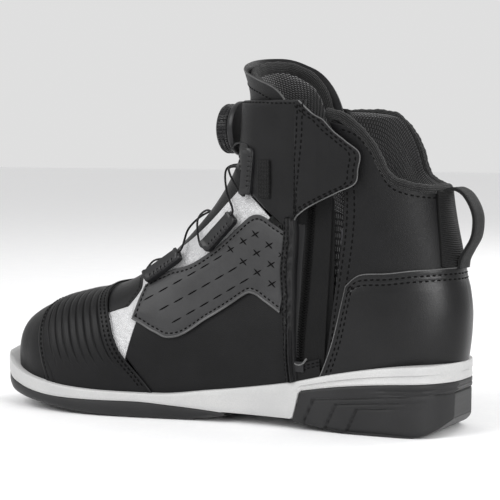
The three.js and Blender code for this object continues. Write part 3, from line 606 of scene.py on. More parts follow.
@dataclass(frozen=True)
class Speckled(Finish):
    """Anything moulded or pressed with a fine even texture: rubber, foam, plastic, fibre board."""

    name: str
    colour: str
    fleck: str
    grit: float
    depth: float
    roughness: float
    coat: float = 0.0
    sheen: float = 0.0
    metallic: float = 0.0
    spread: float = 0.06

    def make(self) -> bpy.types.Material:
        """Builds the material."""
        tree, shader = self.start(Coat_Weight=self.coat, Coat_Roughness=0.3, Sheen_Weight=self.sheen,
                                  Metallic=self.metallic, Specular_IOR_Level=0.5 if self.metallic else 0.3)
        place = add_node(tree, "TexCoord").outputs["Object"]
        grit = add_node(tree, "TexNoise", {"Scale": 1000 / self.grit, "Detail": 2.0}, {"Vector": place})
        broad = add_node(tree, "TexNoise", {"Scale": 45.0, "Detail": 5.0}, {"Vector": place})
        both = add_node(tree, "Math", {"operation": "MULTIPLY"}, {0: grit.outputs[0], 1: broad.outputs[0]})
        share = add_node(tree, "MapRange", {"From Min": 0.12, "From Max": 0.42}, {"Value": both.outputs[0]})
        tint = add_node(tree, "Mix", {"data_type": "RGBA", 6: linear(self.colour), 7: linear(self.fleck)},
                        {0: share.outputs[0]})
        rough = add_node(tree, "MapRange", {"To Min": self.roughness - self.spread,
                                            "To Max": self.roughness + self.spread}, {"Value": broad.outputs[0]})
        self.link(tree, shader, tint.outputs[2], rough.outputs[0], grit.outputs[0], self.depth)
        return bpy.data.materials[self.name]


@dataclass(frozen=True)
class Cloth(Finish):
    """Woven or knitted cloth. Its pattern reads the piece's own UV map, which is in metres."""

    name: str
    yarn: str
    shade: str
    across: float
    along: float
    offset: float = 0.5
    mortar: float = 0.25
    depth: float = 0.0003
    roughness: float = 0.85
    sheen: float = 0.35

    def make(self) -> bpy.types.Material:
        """Builds the material."""
        tree, shader = self.start(Sheen_Weight=self.sheen, Sheen_Roughness=0.5, Specular_IOR_Level=0.2)
        place = add_node(tree, "TexCoord")
        # Brick cells stand for the floats of the weave, or for the rows of holes in a knit. The darker mortar colour is
        # painted shade in the gaps and holes, and the lighter yarn colour carries a painted highlight on the floats.
        weave = add_node(tree, "TexBrick",
                         {"offset": self.offset, "Scale": 1.0, "Brick Width": self.across * MM,
                          "Row Height": self.along * MM, "Mortar Size": self.mortar * MM,
                          "Mortar Smooth": 0.8, "Color1": linear(self.yarn), "Color2": linear(self.yarn),
                          "Mortar": linear(self.shade)}, {"Vector": place.outputs["UV"]})
        fuzz = add_node(tree, "TexNoise", {"Scale": 1500.0, "Detail": 3.0}, {"Vector": place.outputs["Object"]})
        broad = add_node(tree, "TexNoise", {"Scale": 60.0, "Detail": 3.0}, {"Vector": place.outputs["Object"]})
        dapple = add_node(tree, "MapRange", {"To Min": 0.7, "To Max": 1.3}, {"Value": fuzz.outputs[0]})
        tint = add_node(tree, "Mix", {"data_type": "RGBA", "blend_type": "MULTIPLY", 0: 1.0},
                        {6: weave.outputs["Color"], 7: dapple.outputs[0]})
        inverse = add_node(tree, "Math", {"operation": "SUBTRACT", 0: 1.0}, {1: weave.outputs["Fac"]})
        height = add_node(tree, "Math", {"operation": "MULTIPLY_ADD", 1: 0.3},
                          {0: fuzz.outputs[0], 2: inverse.outputs[0]})
        rough = add_node(tree, "MapRange", {"To Min": self.roughness - 0.08, "To Max": self.roughness + 0.08},
                         {"Value": broad.outputs[0]})
        self.link(tree, shader, tint.outputs[2], rough.outputs[0], height.outputs[0], self.depth)
        return bpy.data.materials[self.name]


@dataclass(frozen=True)
class Twist(Finish):
    """Thread or cord. Slanting strands read the UV map, whose u runs along the cord in metres."""

    name: str
    strand: str
    valley: str
    pitch: float
    roughness: float = 0.5

    def make(self) -> bpy.types.Material:
        """Builds the material."""
        tree, shader = self.start(Specular_IOR_Level=0.12)
        place = add_node(tree, "TexCoord")
        lay = add_node(tree, "TexWave", {"wave_type": "BANDS", "bands_direction": "DIAGONAL",
                                         "Scale": 0.31 / (self.pitch * MM), "Distortion": 0.0},
                       {"Vector": place.outputs["UV"]})
        fuzz = add_node(tree, "TexNoise", {"Scale": 2500.0, "Detail": 2.0}, {"Vector": place.outputs["Object"]})
        # The darker valley colour between the strands is painted shade in the grooves of the twist.
        tint = add_node(tree, "Mix", {"data_type": "RGBA", 6: linear(self.valley), 7: linear(self.strand)},
                        {0: lay.outputs["Fac"]})
        rough = add_node(tree, "MapRange", {"To Min": self.roughness - 0.1, "To Max": self.roughness + 0.1},
                         {"Value": fuzz.outputs[0]})
        self.link(tree, shader, tint.outputs[2], rough.outputs[0], lay.outputs["Fac"], 0.0001)
        return bpy.data.materials[self.name]


class Finishes:
    """Every material of the boot, made once and read by name."""

    def __init__(self) -> None:
        """Makes the materials."""
        # Full-grain cowhide, plate-pressed and sprayed with a satin black topcoat: a tight pebble grain,
        # soft broad highlights, and a slightly rubbed look on broad areas.
        self.leather = Leather("pressed_cowhide", "#0b0b0c", "#151516", 0.8, 0.00006, 0.42).make()
        # The same hide ironed hot and polished on the heel and toe: flatter grain and a clearer highlight.
        self.polished = Leather("polished_cowhide", "#0d0d0e", "#151516", 0.8, 0.00003, 0.3, 0.24).make()
        # Drummed cowhide, softer and greyer, with a finer grain.
        self.soft_leather = Leather("drummed_cowhide", "#0e0e0f", "#171718", 0.6, 0.00005, 0.4).make()
        # Nubuck-faced microfibre with a waxed coat, with a soft dry sheen. Its colour is greyer than the leather's:
        # partly the microfibre's own tone and partly a painted highlight of the panel facing the key light.
        self.overlay = Leather("waxed_microfibre", "#262627", "#3a3a3b", 0.6, 0.00005, 0.44, 0.32).make()
        # The raw cut edge of split hide: dry fibres, lighter than the dyed face.
        self.cut_edge = Speckled("raw_hide_edge", "#3a3a3a", "#6a6a6a", 0.3, 0.00012, 0.9).make()
        # Polyurethane-coated microfibre with glass beads in the coat: white, pebbled, dry-looking.
        self.reflective = Leather("beaded_microfibre", "#cbcbcc", "#a6a6a8", 1.1, 0.0004, 0.6).make()
        # Warp-knitted spacer mesh: rows of small holes over a foam core, dull with a little fuzz. Its second colour is
        # painted shade in the holes, and the lighter yarn colour carries a painted highlight.
        self.mesh = Cloth("spacer_mesh", "#1e1e1f", "#030304", 1.7, 2.3, 0.5, 0.75, 0.0005).make()
        # Brushed knit binding, thick and uneven. Its second colour is painted shade between the loops.
        self.binding = Cloth("brushed_knit", "#0e0e0f", "#030303", 0.9, 1.0, 0.5, 0.35, 0.0006, 0.95, 0.16).make()
        # Nylon webbing woven in ribs across its width. Its second colour is painted shade in the grooves between the
        # ribs.
        self.webbing = Cloth("ribbed_nylon_webbing", "#0c0c0d", "#010101", 30.0, 1.2, 0.0, 0.4, 0.0005, 0.7,
                             0.04).make()
        # Plain-woven nylon zip tape, fine and dark. Its second colour is painted shade between the yarns.
        self.tape = Cloth("woven_zip_tape", "#0d0d0e", "#030303", 0.7, 0.7, 0.5, 0.2, 0.0001, 0.8, 0.05).make()
        # Injection-moulded nylon from a spark-eroded mould: satin, slightly grainy.
        self.plastic = Speckled("moulded_nylon", "#0f0f10", "#1a1a1c", 0.5, 0.00003, 0.42, 0.1).make()
        # Foamed EVA pressed in a polished mould: white skin with faint mottling.
        self.midsole = Speckled("pressed_eva_foam", "#aaaaaa", "#b6b6b5", 0.7, 0.00003, 0.5, 0.05).make()
        # Vulcanised rubber from a sand-blasted mould: matt, slightly dusty black.
        self.rubber = Speckled("vulcanised_rubber", "#151516", "#202021", 0.45, 0.00005, 0.56, sheen=0.1).make()
        # Pressed cellulose fibre board, brown and dry.
        self.board = Speckled("fibre_board", "#6b5b48", "#7d6c57", 0.6, 0.0001, 0.9).make()
        # Open-cell polyurethane foam with visible pores.
        self.foam = Speckled("open_cell_foam", "#343437", "#454548", 0.8, 0.0003, 0.95).make()
        # Die-cast zinc, tumbled and plated black nickel: a metal with soft scratches.
        self.steel = Speckled("black_nickel", "#6f7175", "#85878b", 0.4, 0.00001, 0.3, metallic=1.0).make()
        # Hook-and-loop tape, seen as a dull bristle.
        self.hooks = Speckled("hook_and_loop", "#141415", "#262627", 0.9, 0.0005, 0.92, sheen=0.4).make()
        # Bonded polyester sewing thread, three strands twisted, waxed. Its second colour is painted shade between the
        # strands.
        self.thread = Twist("bonded_thread", "#040404", "#010101", 0.6, 0.8).make()
        # Steel-cored lace under a braided nylon sleeve. Its second colour is painted shade in the grooves of the braid.
        self.lace = Twist("braided_lace", "#1b1b1c", "#070708", 0.8, 0.42).make()


# ------------------------------------------------------------------ sewn panels
Offset = float | Callable[[Array, Array, Array], Array]


@dataclass
class Panel:
    """One cut piece of leather or cloth, laid on the last.

    place gives rows [s, turn] for u and v; lift is the outer face's distance from the last, as a number or
    a function of u, v and the points on the last; thickness goes inwards from there. The outer face stays
    floor above the feather line, and lined is 1 where the inner face has the rim's material.
    """

    name: str
    place: Callable[[Array, Array], Array]
    columns: int
    rows: int
    lift: Offset = 0.0
    thickness: float = 1.3
    floor: float = -1.0
    bevel: float = 0.25
    lined: int = 0
    points: Array = field(default=None, repr=False)
    normals: Array = field(default=None, repr=False)

    def lay(self) -> bpy.types.Object:
        """Cuts the panel and lays it on the last.

        Returns:
            The thick piece with its edges broken.
        """
        obj = flat_grid(self.name, self.columns, self.rows)
        flat = read_points(obj)
        u, v = (flat[:, 0] + 1) / 2, (flat[:, 1] + 1) / 2
        base = LAST.surface(self.place(u, v))
        normal = LAST.normal(base)
        lift = self.lift(u, v, base) if callable(self.lift) else self.lift
        outer = base + normal * np.broadcast_to(lift, len(base))[:, None]
        outer[:, 2] = np.maximum(outer[:, 2], LAST.feather(outer[:, 0]) + self.floor)
        write_points(obj, outer * MM)
        order = np.lexsort((np.round(v * self.rows), np.round(u * self.columns)))
        shape = (self.columns + 1, self.rows + 1, 3)
        self.points, self.normals = outer[order].reshape(shape), normal[order].reshape(shape)
        self.map_cloth(obj, u, v)
        self.face_out(obj, normal)
        if self.thickness:
            apply_modifier(obj, "SOLIDIFY", thickness=self.thickness * MM, offset=-1.0,
                           use_quality_normals=True, material_offset=self.lined, material_offset_rim=1)
        if self.thickness and self.bevel:
            apply_modifier(obj, "BEVEL", width=self.bevel * MM, segments=2, limit_method="ANGLE",
                           angle_limit=math.radians(60), use_clamp_overlap=True)
        smooth(obj, 50)
        return obj

    def map_cloth(self, obj: bpy.types.Object, u: Array, v: Array) -> None:
        """Writes a UV map in metres, so that a weave keeps its size.

        Args:
            obj: the flat sheet.
            u: each vertex's share along the columns.
            v: each vertex's share along the rows.
        """
        middle_row = steps_of(self.points[:, self.rows // 2]).sum()
        middle_column = steps_of(self.points[self.columns // 2]).sum()
        layer = obj.data.uv_layers.active or obj.data.uv_layers.new(name="cloth")
        write_map(obj, layer, np.stack([u * middle_row, v * middle_column], 1))

    @staticmethod
    def face_out(obj: bpy.types.Object, normal: Array) -> None:
        """Turns the sheet's faces to the outside of the last.

        Args:
            obj: the flat sheet.
            normal: the last's normal at each vertex.
        """
        facing = sum(np.dot(face.normal, normal[face.vertices[0]]) for face in obj.data.polygons)
        if facing < 0:
            obj.data.flip_normals()

    def row(self, rim: Rim, inset: float, begin: float = 0.0, finish: float = 1.0) -> tuple[Array, Array]:
        """A line on the panel at a constant distance from one of its edges.

        Args:
            rim: the edge it follows: FIRST and LAST are v = 0 and 1, START and END are u = 0 and 1.
            inset: its distance from that edge, in millimetres.
            begin: where it starts along the edge, from 0 to 1.
            finish: where it ends.

        Returns:
            Its points and the outward directions there.
        """
        points, normals = self.points, self.normals
        if rim in (Rim.START, Rim.END):
            points, normals = points.transpose(1, 0, 2), normals.transpose(1, 0, 2)
        if rim in (Rim.LAST, Rim.END):
            points, normals = points[:, ::-1], normals[:, ::-1]
        count = len(points)
        line, heads = np.empty((count, 3)), np.empty((count, 3))
        for i in range(count):
            walked = walk(points[i])
            for k in range(3):
                line[i, k] = np.interp(inset, walked, points[i, :, k])
                heads[i, k] = np.interp(inset, walked, normals[i, :, k])
        first, last = round(begin * (count - 1)), round(finish * (count - 1)) + 1
        return line[first:last], unit(heads[first:last])


def between(lower: Sequence[Place], upper: Sequence[Place]) -> Callable[[Array, Array], Array]:
    """A pattern between two edges whose points face each other one by one."""
    def place(u: Array, v: Array) -> Array:
        """The places at u and v."""
        low, high = curve_through(lower, u), curve_through(upper, u)
        return low + (high - low) * v[:, None]
    return place


def sided(edge: Sequence[Place], side: Side) -> list[Place]:
    """The same edge on one side of the boot."""
    return [(s, turn * side.value) for s, turn in edge]


def side_edge(points: Sequence[Place], side: Side = Side.MEDIAL) -> list[Place]:
    """An edge given in side view, as places of the fan."""
    return [LAST.place(x, z, side) for x, z in points]


def across_foot(front_at: Profile, rear_at: Profile) -> Callable[[Array, Array], Array]:
    """A band over the foot between two lines that give s by turn, down to the feather line."""
    def line(at: Profile, across: Array) -> Array:
        """The s of one line, walked until it meets its own turn."""
        side = np.where(across < 0, -1.0, 1.0)
        s = np.full(len(across), float(at(0)))
        for _ in range(4):
            s = at(abs(across * LAST.feather_turn(s, side)))
        return s

    def place(u: Array, v: Array) -> Array:
        """The places at u and v."""
        across = 1 - 2 * u
        s = line(front_at, across) * (1 - v) + line(rear_at, across) * v
        side = np.where(across < 0, -1.0, 1.0)
        return np.stack([s, abs(across) * LAST.feather_turn(s, side)], 1)
    return place


def resample(line: Array, heads: Array, step: float) -> tuple[Array, Array, Array]:
    """Evenly spaced points on a line, with the outward directions and the line's own.

    Args:
        line: its points.
        heads: the outward directions there.
        step: the spacing.

    Returns:
        Points, outward directions and tangents.
    """
    walked = walk(line)
    at = np.arange(step / 2, walked[-1], step)
    p, n = (np.stack([np.interp(at, walked, rows[:, k]) for k in range(3)], 1) for rows in (line, heads))
    tangent = np.stack([np.interp(at + 0.4, walked, line[:, k]) - np.interp(at - 0.4, walked, line[:, k])
                        for k in range(3)], 1)
    return p, unit(n), unit(tangent)


@dataclass
class Stitching:
    """Rows of sewing thread on one panel: each stitch is a short domed float between two holes."""

    name: str
    length: float = 2.3
    gap: float = 0.9
    width: float = 0.95
    places: list = field(default_factory=list)

    def along(self, line: Array, heads: Array, lift: float = 0.05) -> "Stitching":
        """Sews a row along a line.

        Args:
            line: its points.
            heads: the outward directions there.
            lift: how far the thread lies above the line.

        Returns:
            The same stitching, so that rows can follow each other.
        """
        p, n, t = resample(line, heads, self.length + self.gap)
        self.places += [(a + b * lift, b, c, self.length) for a, b, c in zip(p, n, t)]
        return self

    def sew(self) -> bpy.types.Object:
        """Makes one mesh of all the stitches.

        Returns:
            The piece.
        """
        bpy.ops.object.select_all(action="DESELECT")
        bpy.ops.mesh.primitive_cylinder_add(vertices=6, radius=0.5, depth=1.0, end_fill_type="NGON",
                                            rotation=(0, math.pi / 2, 0))
        one = bpy.context.object
        settle(one)
        bpy.ops.object.mode_set(mode="EDIT")
        bpy.ops.mesh.select_all(action="SELECT")
        bpy.ops.mesh.bisect(plane_co=(-0.25, 0, 0), plane_no=(1, 0, 0))
        bpy.ops.mesh.select_all(action="SELECT")
        bpy.ops.mesh.bisect(plane_co=(0.25, 0, 0), plane_no=(1, 0, 0))
        bpy.ops.object.mode_set(mode="OBJECT")
        shape = read_points(one)
        faces = [tuple(f.vertices) for f in one.data.polygons]
        end = abs(shape[:, 0]) > 0.4
        shape[end, 1:] *= 0.45
        shape[end, 2] -= 0.3
        bpy.data.objects.remove(one)
        vertices, all_faces, run = [], [], []
        for k, (p, n, t, length) in enumerate(self.places):
            side = unit(np.cross(n, t))
            vertices.append(p + shape[:, :1] * t * length + shape[:, 1:2] * side * self.width
                            + shape[:, 2:] * n * self.width * 0.8)
            all_faces += [tuple(i + k * len(shape) for i in f) for f in faces]
            run.append(shape[:, :2] * [length, self.width])
        obj = mesh_object(self.name, np.concatenate(vertices), all_faces)
        write_map(obj, obj.data.uv_layers.new(name="thread"), np.concatenate(run))
        smooth(obj, 60)
        return obj

    def sew_on(self, body: str, thread: bpy.types.Material) -> None:
        """Sews the rows and hands the thread over on a body."""
        deliver(self.sew(), (thread,), body, "leather")


@dataclass
class Tube:
    """A round or flat cord, binding or roll swept along a line."""

    name: str
    radius: float
    flat: float = 1.0
    sides: int = 10
    section: Sequence[Place] | None = None

    def sweep(self, line: Array, heads: Array, taper: Array | None = None,
              closed: bool = False) -> bpy.types.Object:
        """Skins the tube.

        Args:
            line: its centreline.
            heads: the direction in which it is flattened, at each point.
            taper: the share of the radius at each point.
            closed: whether its ends meet.

        Returns:
            The piece, with u along it and v round it in metres.
        """
        ahead = np.roll(line, -1, 0) if closed else np.vstack([line[1:], 2 * line[-1] - line[-2]])
        behind = np.roll(line, 1, 0) if closed else np.vstack([2 * line[0] - line[1], line[:-1]])
        tangent = unit(ahead - behind)
        across = unit(np.cross(heads, tangent))
        out = unit(np.cross(tangent, across))
        taper = np.ones(len(line)) if taper is None else taper
        angles = [k * 2 * math.pi / self.sides for k in range(self.sides)]
        section = self.section or [(math.cos(a), math.sin(a) * self.flat) for a in angles]
        ring = [line + (across * a + out * b) * self.radius * taper[:, None] for a, b in section]
        vertices = np.stack(ring, 1).reshape(-1, 3)
        count, n = len(line), len(section)
        girth = walk(np.array(section)) * self.radius
        faces = [(i * n + j, i * n + (j + 1) % n, (i + 1) % count * n + (j + 1) % n, (i + 1) % count * n + j)
                 for i in range(count if closed else count - 1) for j in range(n)]
        if not closed:
            faces += [tuple(range(n))[::-1], tuple(range((count - 1) * n, count * n))]
        obj = mesh_object(self.name, vertices, faces)
        places = np.stack([np.repeat(walk(line), n), np.tile(girth, count)], 1)
        write_map(obj, obj.data.uv_layers.new(name="cord"), places)
        recalculate(obj, 1e-7)
        smooth(obj, 60)
        return obj


# ------------------------------------------------------------------ sole
@dataclass
class Level:
    """One level of a sole piece: how far in from the outline, how high, and where its front end lies."""

    inset: float | Callable[[Array], Array]
    height: Callable[[Array], Array]
    front: float


@dataclass
class Sole:
    """The cup midsole, the forefoot outsole, the heel block and the footbed."""

    finishes: Finishes
    toe: float = -259.0
    heel: float = 44.0
    heel_round: float = 30.0
    end_round: float = 25.0
    toe_bow: float = 3.0
    gap: float = 0.1
    outsole_end: float = -93.0
    arch_height: float = 5.6
    step_span: tuple[float, float] = (-48.4, -43.0)
    front_lugs: tuple[float, float, float] = (11.0, 0.42, 2.0)
    heel_lugs: tuple[float, float, float] = (12.0, 0.3, 1.8)
    outline_medial: Profile = field(default_factory=lambda: Profile(
        (-259, 8), (-255, 17.5), (-247, 29), (-232, 40.5), (-212, 48.5), (-180, 52.5), (-150, 49),
        (-110, 41), (-70, 38.5), (-30, 39), (10, 37), (44, 34)))
    outline_lateral: Profile = field(default_factory=lambda: Profile(
        (-259, 8), (-255, 17.5), (-247, 29), (-232, 41), (-212, 50), (-180, 56), (-150, 56),
        (-110, 50), (-70, 44), (-30, 41), (10, 38), (44, 34)))
    ground: Profile = field(default_factory=lambda: Profile(
        (-259, 14), (-240, 8.5), (-215, 4.5), (-190, 1.5), (-165, 0.2), (-150, 0), (-125, 0),
        (-105, 1.6), (-94, 3.6)))
    outsole_top: Profile = field(default_factory=lambda: Profile(
        (-259, 22), (-240, 15.5), (-215, 10.5), (-180, 9), (-150, 9.2), (-125, 7.6), (-94, 5.2)))
    heel_top: Profile = field(default_factory=lambda: Profile((-50, 21), (-20, 26), (10, 29), (44, 30.5)))
    heel_ground: Profile = field(default_factory=lambda: Profile(
        (-50, 4.5), (-28, 1.6), (-10, 0), (22, 0), (34, 3), (44, 12)))

    def plan(self, along: Array, across: Array, level: Level, rear: float) -> tuple[Array, Array]:
        """Where the grid's points lie in plan at one level.

        Args:
            along: share of the length, 0 at the front.
            across: -1 at the inner edge, 1 at the outer.
            level: the level.
            rear: the rear end of the piece.

        Returns:
            Their x and y.
        """
        at_heel = rear > self.heel - 2
        eased = 1 - (1 - along) ** 1.35 if at_heel else along**1.15
        x = level.front + (rear - level.front) * eased
        inset = level.inset(x) if callable(level.inset) else level.inset
        if level.front < self.toe + 3:
            end = np.clip(1 - (x - level.front) / self.end_round, 0, 1) ** 2
            x = x + (inset + self.toe_bow * across**2) * end
        if at_heel:
            x = x - inset * np.clip(1 - (rear - x) / self.end_round, 0, 1) ** 2
        blunt = np.maximum(1 - (self.heel - x) / self.heel_round, 0) ** 2.6
        wide = np.sqrt(np.maximum(1 - blunt, 0.0004))
        half = np.where(across < 0, self.outline_medial(x), self.outline_lateral(x)) * wide
        return x, LAST.middle(x) + across * np.maximum(half - inset, 0.3)

    def slab(self, name: str, columns: int, rows: int, rear: float, levels: Sequence[Level],
             under: Callable[[Array, Array], Array] | None = None) -> bpy.types.Object:
        """Raises a piece from a flat grid, level by level.

        Args:
            name: the piece's name.
            columns: faces along it.
            rows: faces across it.
            rear: its rear end.
            levels: its levels from the ground up.
            under: relief of its underside by x and y, upwards.

        Returns:
            The piece.
        """
        obj = flat_grid(name, columns, rows)
        flat = read_points(obj)
        for key, values in (("along", (flat[:, 0] + 1) / 2), ("across", flat[:, 1])):
            obj.data.attributes.new(key, "FLOAT", "POINT").data.foreach_set("value", values.astype(np.float32))
        for number, level in enumerate(levels):
            if number:
                bpy.ops.object.mode_set(mode="EDIT")
                if number == 1:
                    bpy.ops.mesh.select_all(action="SELECT")
                bpy.ops.mesh.extrude_region_move()
                bpy.ops.object.mode_set(mode="OBJECT")
            count = len(obj.data.vertices)
            chosen = np.ones(count, bool)
            if number:
                obj.data.vertices.foreach_get("select", chosen)
            stored = []
            for key in ("along", "across"):
                values = np.empty(count, np.float32)
                obj.data.attributes[key].data.foreach_get("value", values)
                stored.append(values[chosen].astype(float))
            x, y = self.plan(*stored, level, rear)
            z = level.height(x) + (under(x, y) if under and not number else 0)
            points = read_points(obj)
            points[chosen] = np.stack([x, y, z], 1) * MM
            write_points(obj, points)
        recalculate(obj)
        smooth(obj, 38)
        return obj

    def midsole(self) -> bpy.types.Object:
        """The white cup midsole, with its moulded step round the heel."""
        def low(x: Array) -> Array:
            """The underside: over the outsole, bare at the waist, over the heel block behind."""
            over = self.outsole_top(np.minimum(x, self.outsole_end - 1))
            arch = np.where(x < self.outsole_end - 2, over, self.arch_height)
            return arch + (self.heel_top(x) - arch) * smooth_step(x, *self.step_span) + self.gap

        def top(x: Array) -> Array:
            """The upper rim, just over the foot of the leather."""
            return LAST.feather(x) + 0.9

        def at(share: float, lift: float = 0.0) -> Callable[[Array], Array]:
            """A height at a share of the wall."""
            return lambda x: low(x) + (top(x) - low(x)) * share + lift

        def step(x: Array) -> Array:
            """The heel's lower half lies deeper."""
            return 0.9 * smooth_step(x, -46, -40)

        levels = [Level(inset, height, self.toe) for inset, height in (
            (2.4, low), (0.5, at(0, 0.4)), (0.05, at(0, 1.3)), (step, at(0.3)), (step, at(0.47)), (0.0, at(0.53)),
            (0.0, at(0.75)), (0.0, at(1, -1.2)), (0.35, at(1, -0.4)), (1.2, top), (5.0, top))]
        return self.slab("midsole_cup", 170, 24, self.heel, levels)

    def outsole(self) -> bpy.types.Object:
        """The black forefoot outsole with a lugged underside."""
        front, rear = self.toe + 0.6, self.outsole_end
        pitch, slant, deep = self.front_lugs

        def lugs(x: Array, y: Array) -> Array:
            """Chevron channels between the lugs, that stop short of the edge."""
            beat = (x + slant * abs(y)) % pitch
            channel = smooth_step(beat, 0.2, 1.0) * (1 - smooth_step(beat, 3.0, 3.8))
            edge = np.minimum(self.outline_medial(x), self.outline_lateral(x)) - abs(y)
            return deep * channel * smooth_step(edge, 5, 7) * smooth_step(x, -246, -236) * smooth_step(-x, 100, 108)

        def at(share: float, lift: float = 0.0) -> Callable[[Array], Array]:
            """A height at a share of the wall."""
            return lambda x: self.ground(x) + (self.outsole_top(x) - self.ground(x)) * share + lift

        levels = [Level(inset, height, front) for inset, height in (
            (3.4, self.ground), (1.7, at(0.0, 0.45)), (0.9, at(0.1, 1.0)), (0.6, at(0.4)), (0.6, at(1, -0.5)),
            (0.9, at(1, -0.05)))]
        return self.slab("outsole_rubber_forefoot", 112, 64, rear, levels, lugs)

    def heel_relief(self, z_of: Callable[[Array], Array]) -> Callable[[Array], Array]:
        """The stepped chevrons and grooves on the side of the heel block.

        Args:
            z_of: the level's height at each x.

        Returns:
            How far the wall lies in at each x.
        """
        def inset(x: Array) -> Array:
            """Three nested steps, then two grooves under the top edge towards the rear."""
            z = z_of(x)
            total = np.full(x.shape, 0.35)
            for foot, height, slope, fade in ((-42.4, 18.6, 0.09, 90.0), (-28.0, 15.6, 0.08, 12.0),
                                              (-14.8, 12.8, 0.07, 2.0)):
                side = x - (foot + (z - 2.5) * 0.47)
                below = height + slope * (x + 35) - z
                near = np.minimum(side, below)
                total += 1.15 * smooth_step(near, 0.0, 0.7) * (1 - 0.9 * smooth_step(x, fade, fade + 22))
                total += 0.6 * groove(near - 0.5, 0.6) * (1 - smooth_step(x, fade, fade + 22))
            for drop in (3.0, 5.4):
                total += 0.8 * groove(self.heel_top(x) - drop - z, 0.6) * smooth_step(x, -6, 14)
            return total
        return inset

    def heel_block(self) -> bpy.types.Object:
        """The separate heel block, its front face leaning forward towards the ground."""
        def at(share: float) -> Callable[[Array], Array]:
            """A height at a share of the wall."""
            return lambda x: self.heel_ground(x) + (self.heel_top(x) - self.heel_ground(x)) * share

        pitch, slant, deep = self.heel_lugs

        def lugs(x: Array, y: Array) -> Array:
            """Slanting channels across the heel."""
            beat = (x + slant * abs(y)) % pitch
            channel = smooth_step(beat, 0.2, 1.0) * (1 - smooth_step(beat, 3.2, 4.0))
            return deep * channel * smooth_step(31 - abs(y), 0, 2) * smooth_step(-x, -30, -24)

        def front(share: float) -> float:
            """The front face's x at a share of its height."""
            return -48.2 + 6.0 * share

        shares = [0.03, 0.07, *np.linspace(0.1, 0.965, 36), 0.985, 1.0]
        levels = [Level(3.2, at(0), front(0)), Level(1.9, at(0.012), front(0.01))]
        for share in shares:
            relief = self.heel_relief(at(share))
            rounding = 0.9 * max(1 - share / 0.1, 0) ** 2 + 0.5 * max((share - 0.97) / 0.03, 0)
            levels.append(Level(lambda x, relief=relief, rounding=rounding: relief(x) + rounding,
                                at(share), front(share)))
        return self.slab("heel_block_rubber", 116, 40, self.heel - 0.7, levels, lugs)

    def footbed(self) -> bpy.types.Object:
        """The removable foam footbed, dished at the heel."""
        def at(lift: float) -> Callable[[Array], Array]:
            """A height above the feather line."""
            return lambda x: LAST.feather(x) + lift

        front, rear = -240.0, 30.0
        levels = [Level(inset, at(lift), front) for inset, lift in (
            (12.5, 4.2), (12.0, 5.2), (12.2, 7.0), (13.4, 7.8), (17.0, 7.2))]
        return self.slab("footbed_foam", 90, 14, rear, levels)

    def build(self) -> None:
        """Makes the sole and hands its pieces over."""
        f = self.finishes
        deliver(self.midsole(), (f.midsole,), "boot", "midsole_foam", "midsole")
        deliver(self.outsole(), (f.rubber,), "boot", "outsole_rubber", "outsole_forefoot")
        deliver(self.heel_block(), (f.rubber,), "boot", "outsole_rubber", "heel_block")
        deliver(self.footbed(), (f.foam,), "boot", "foam", "footbed")


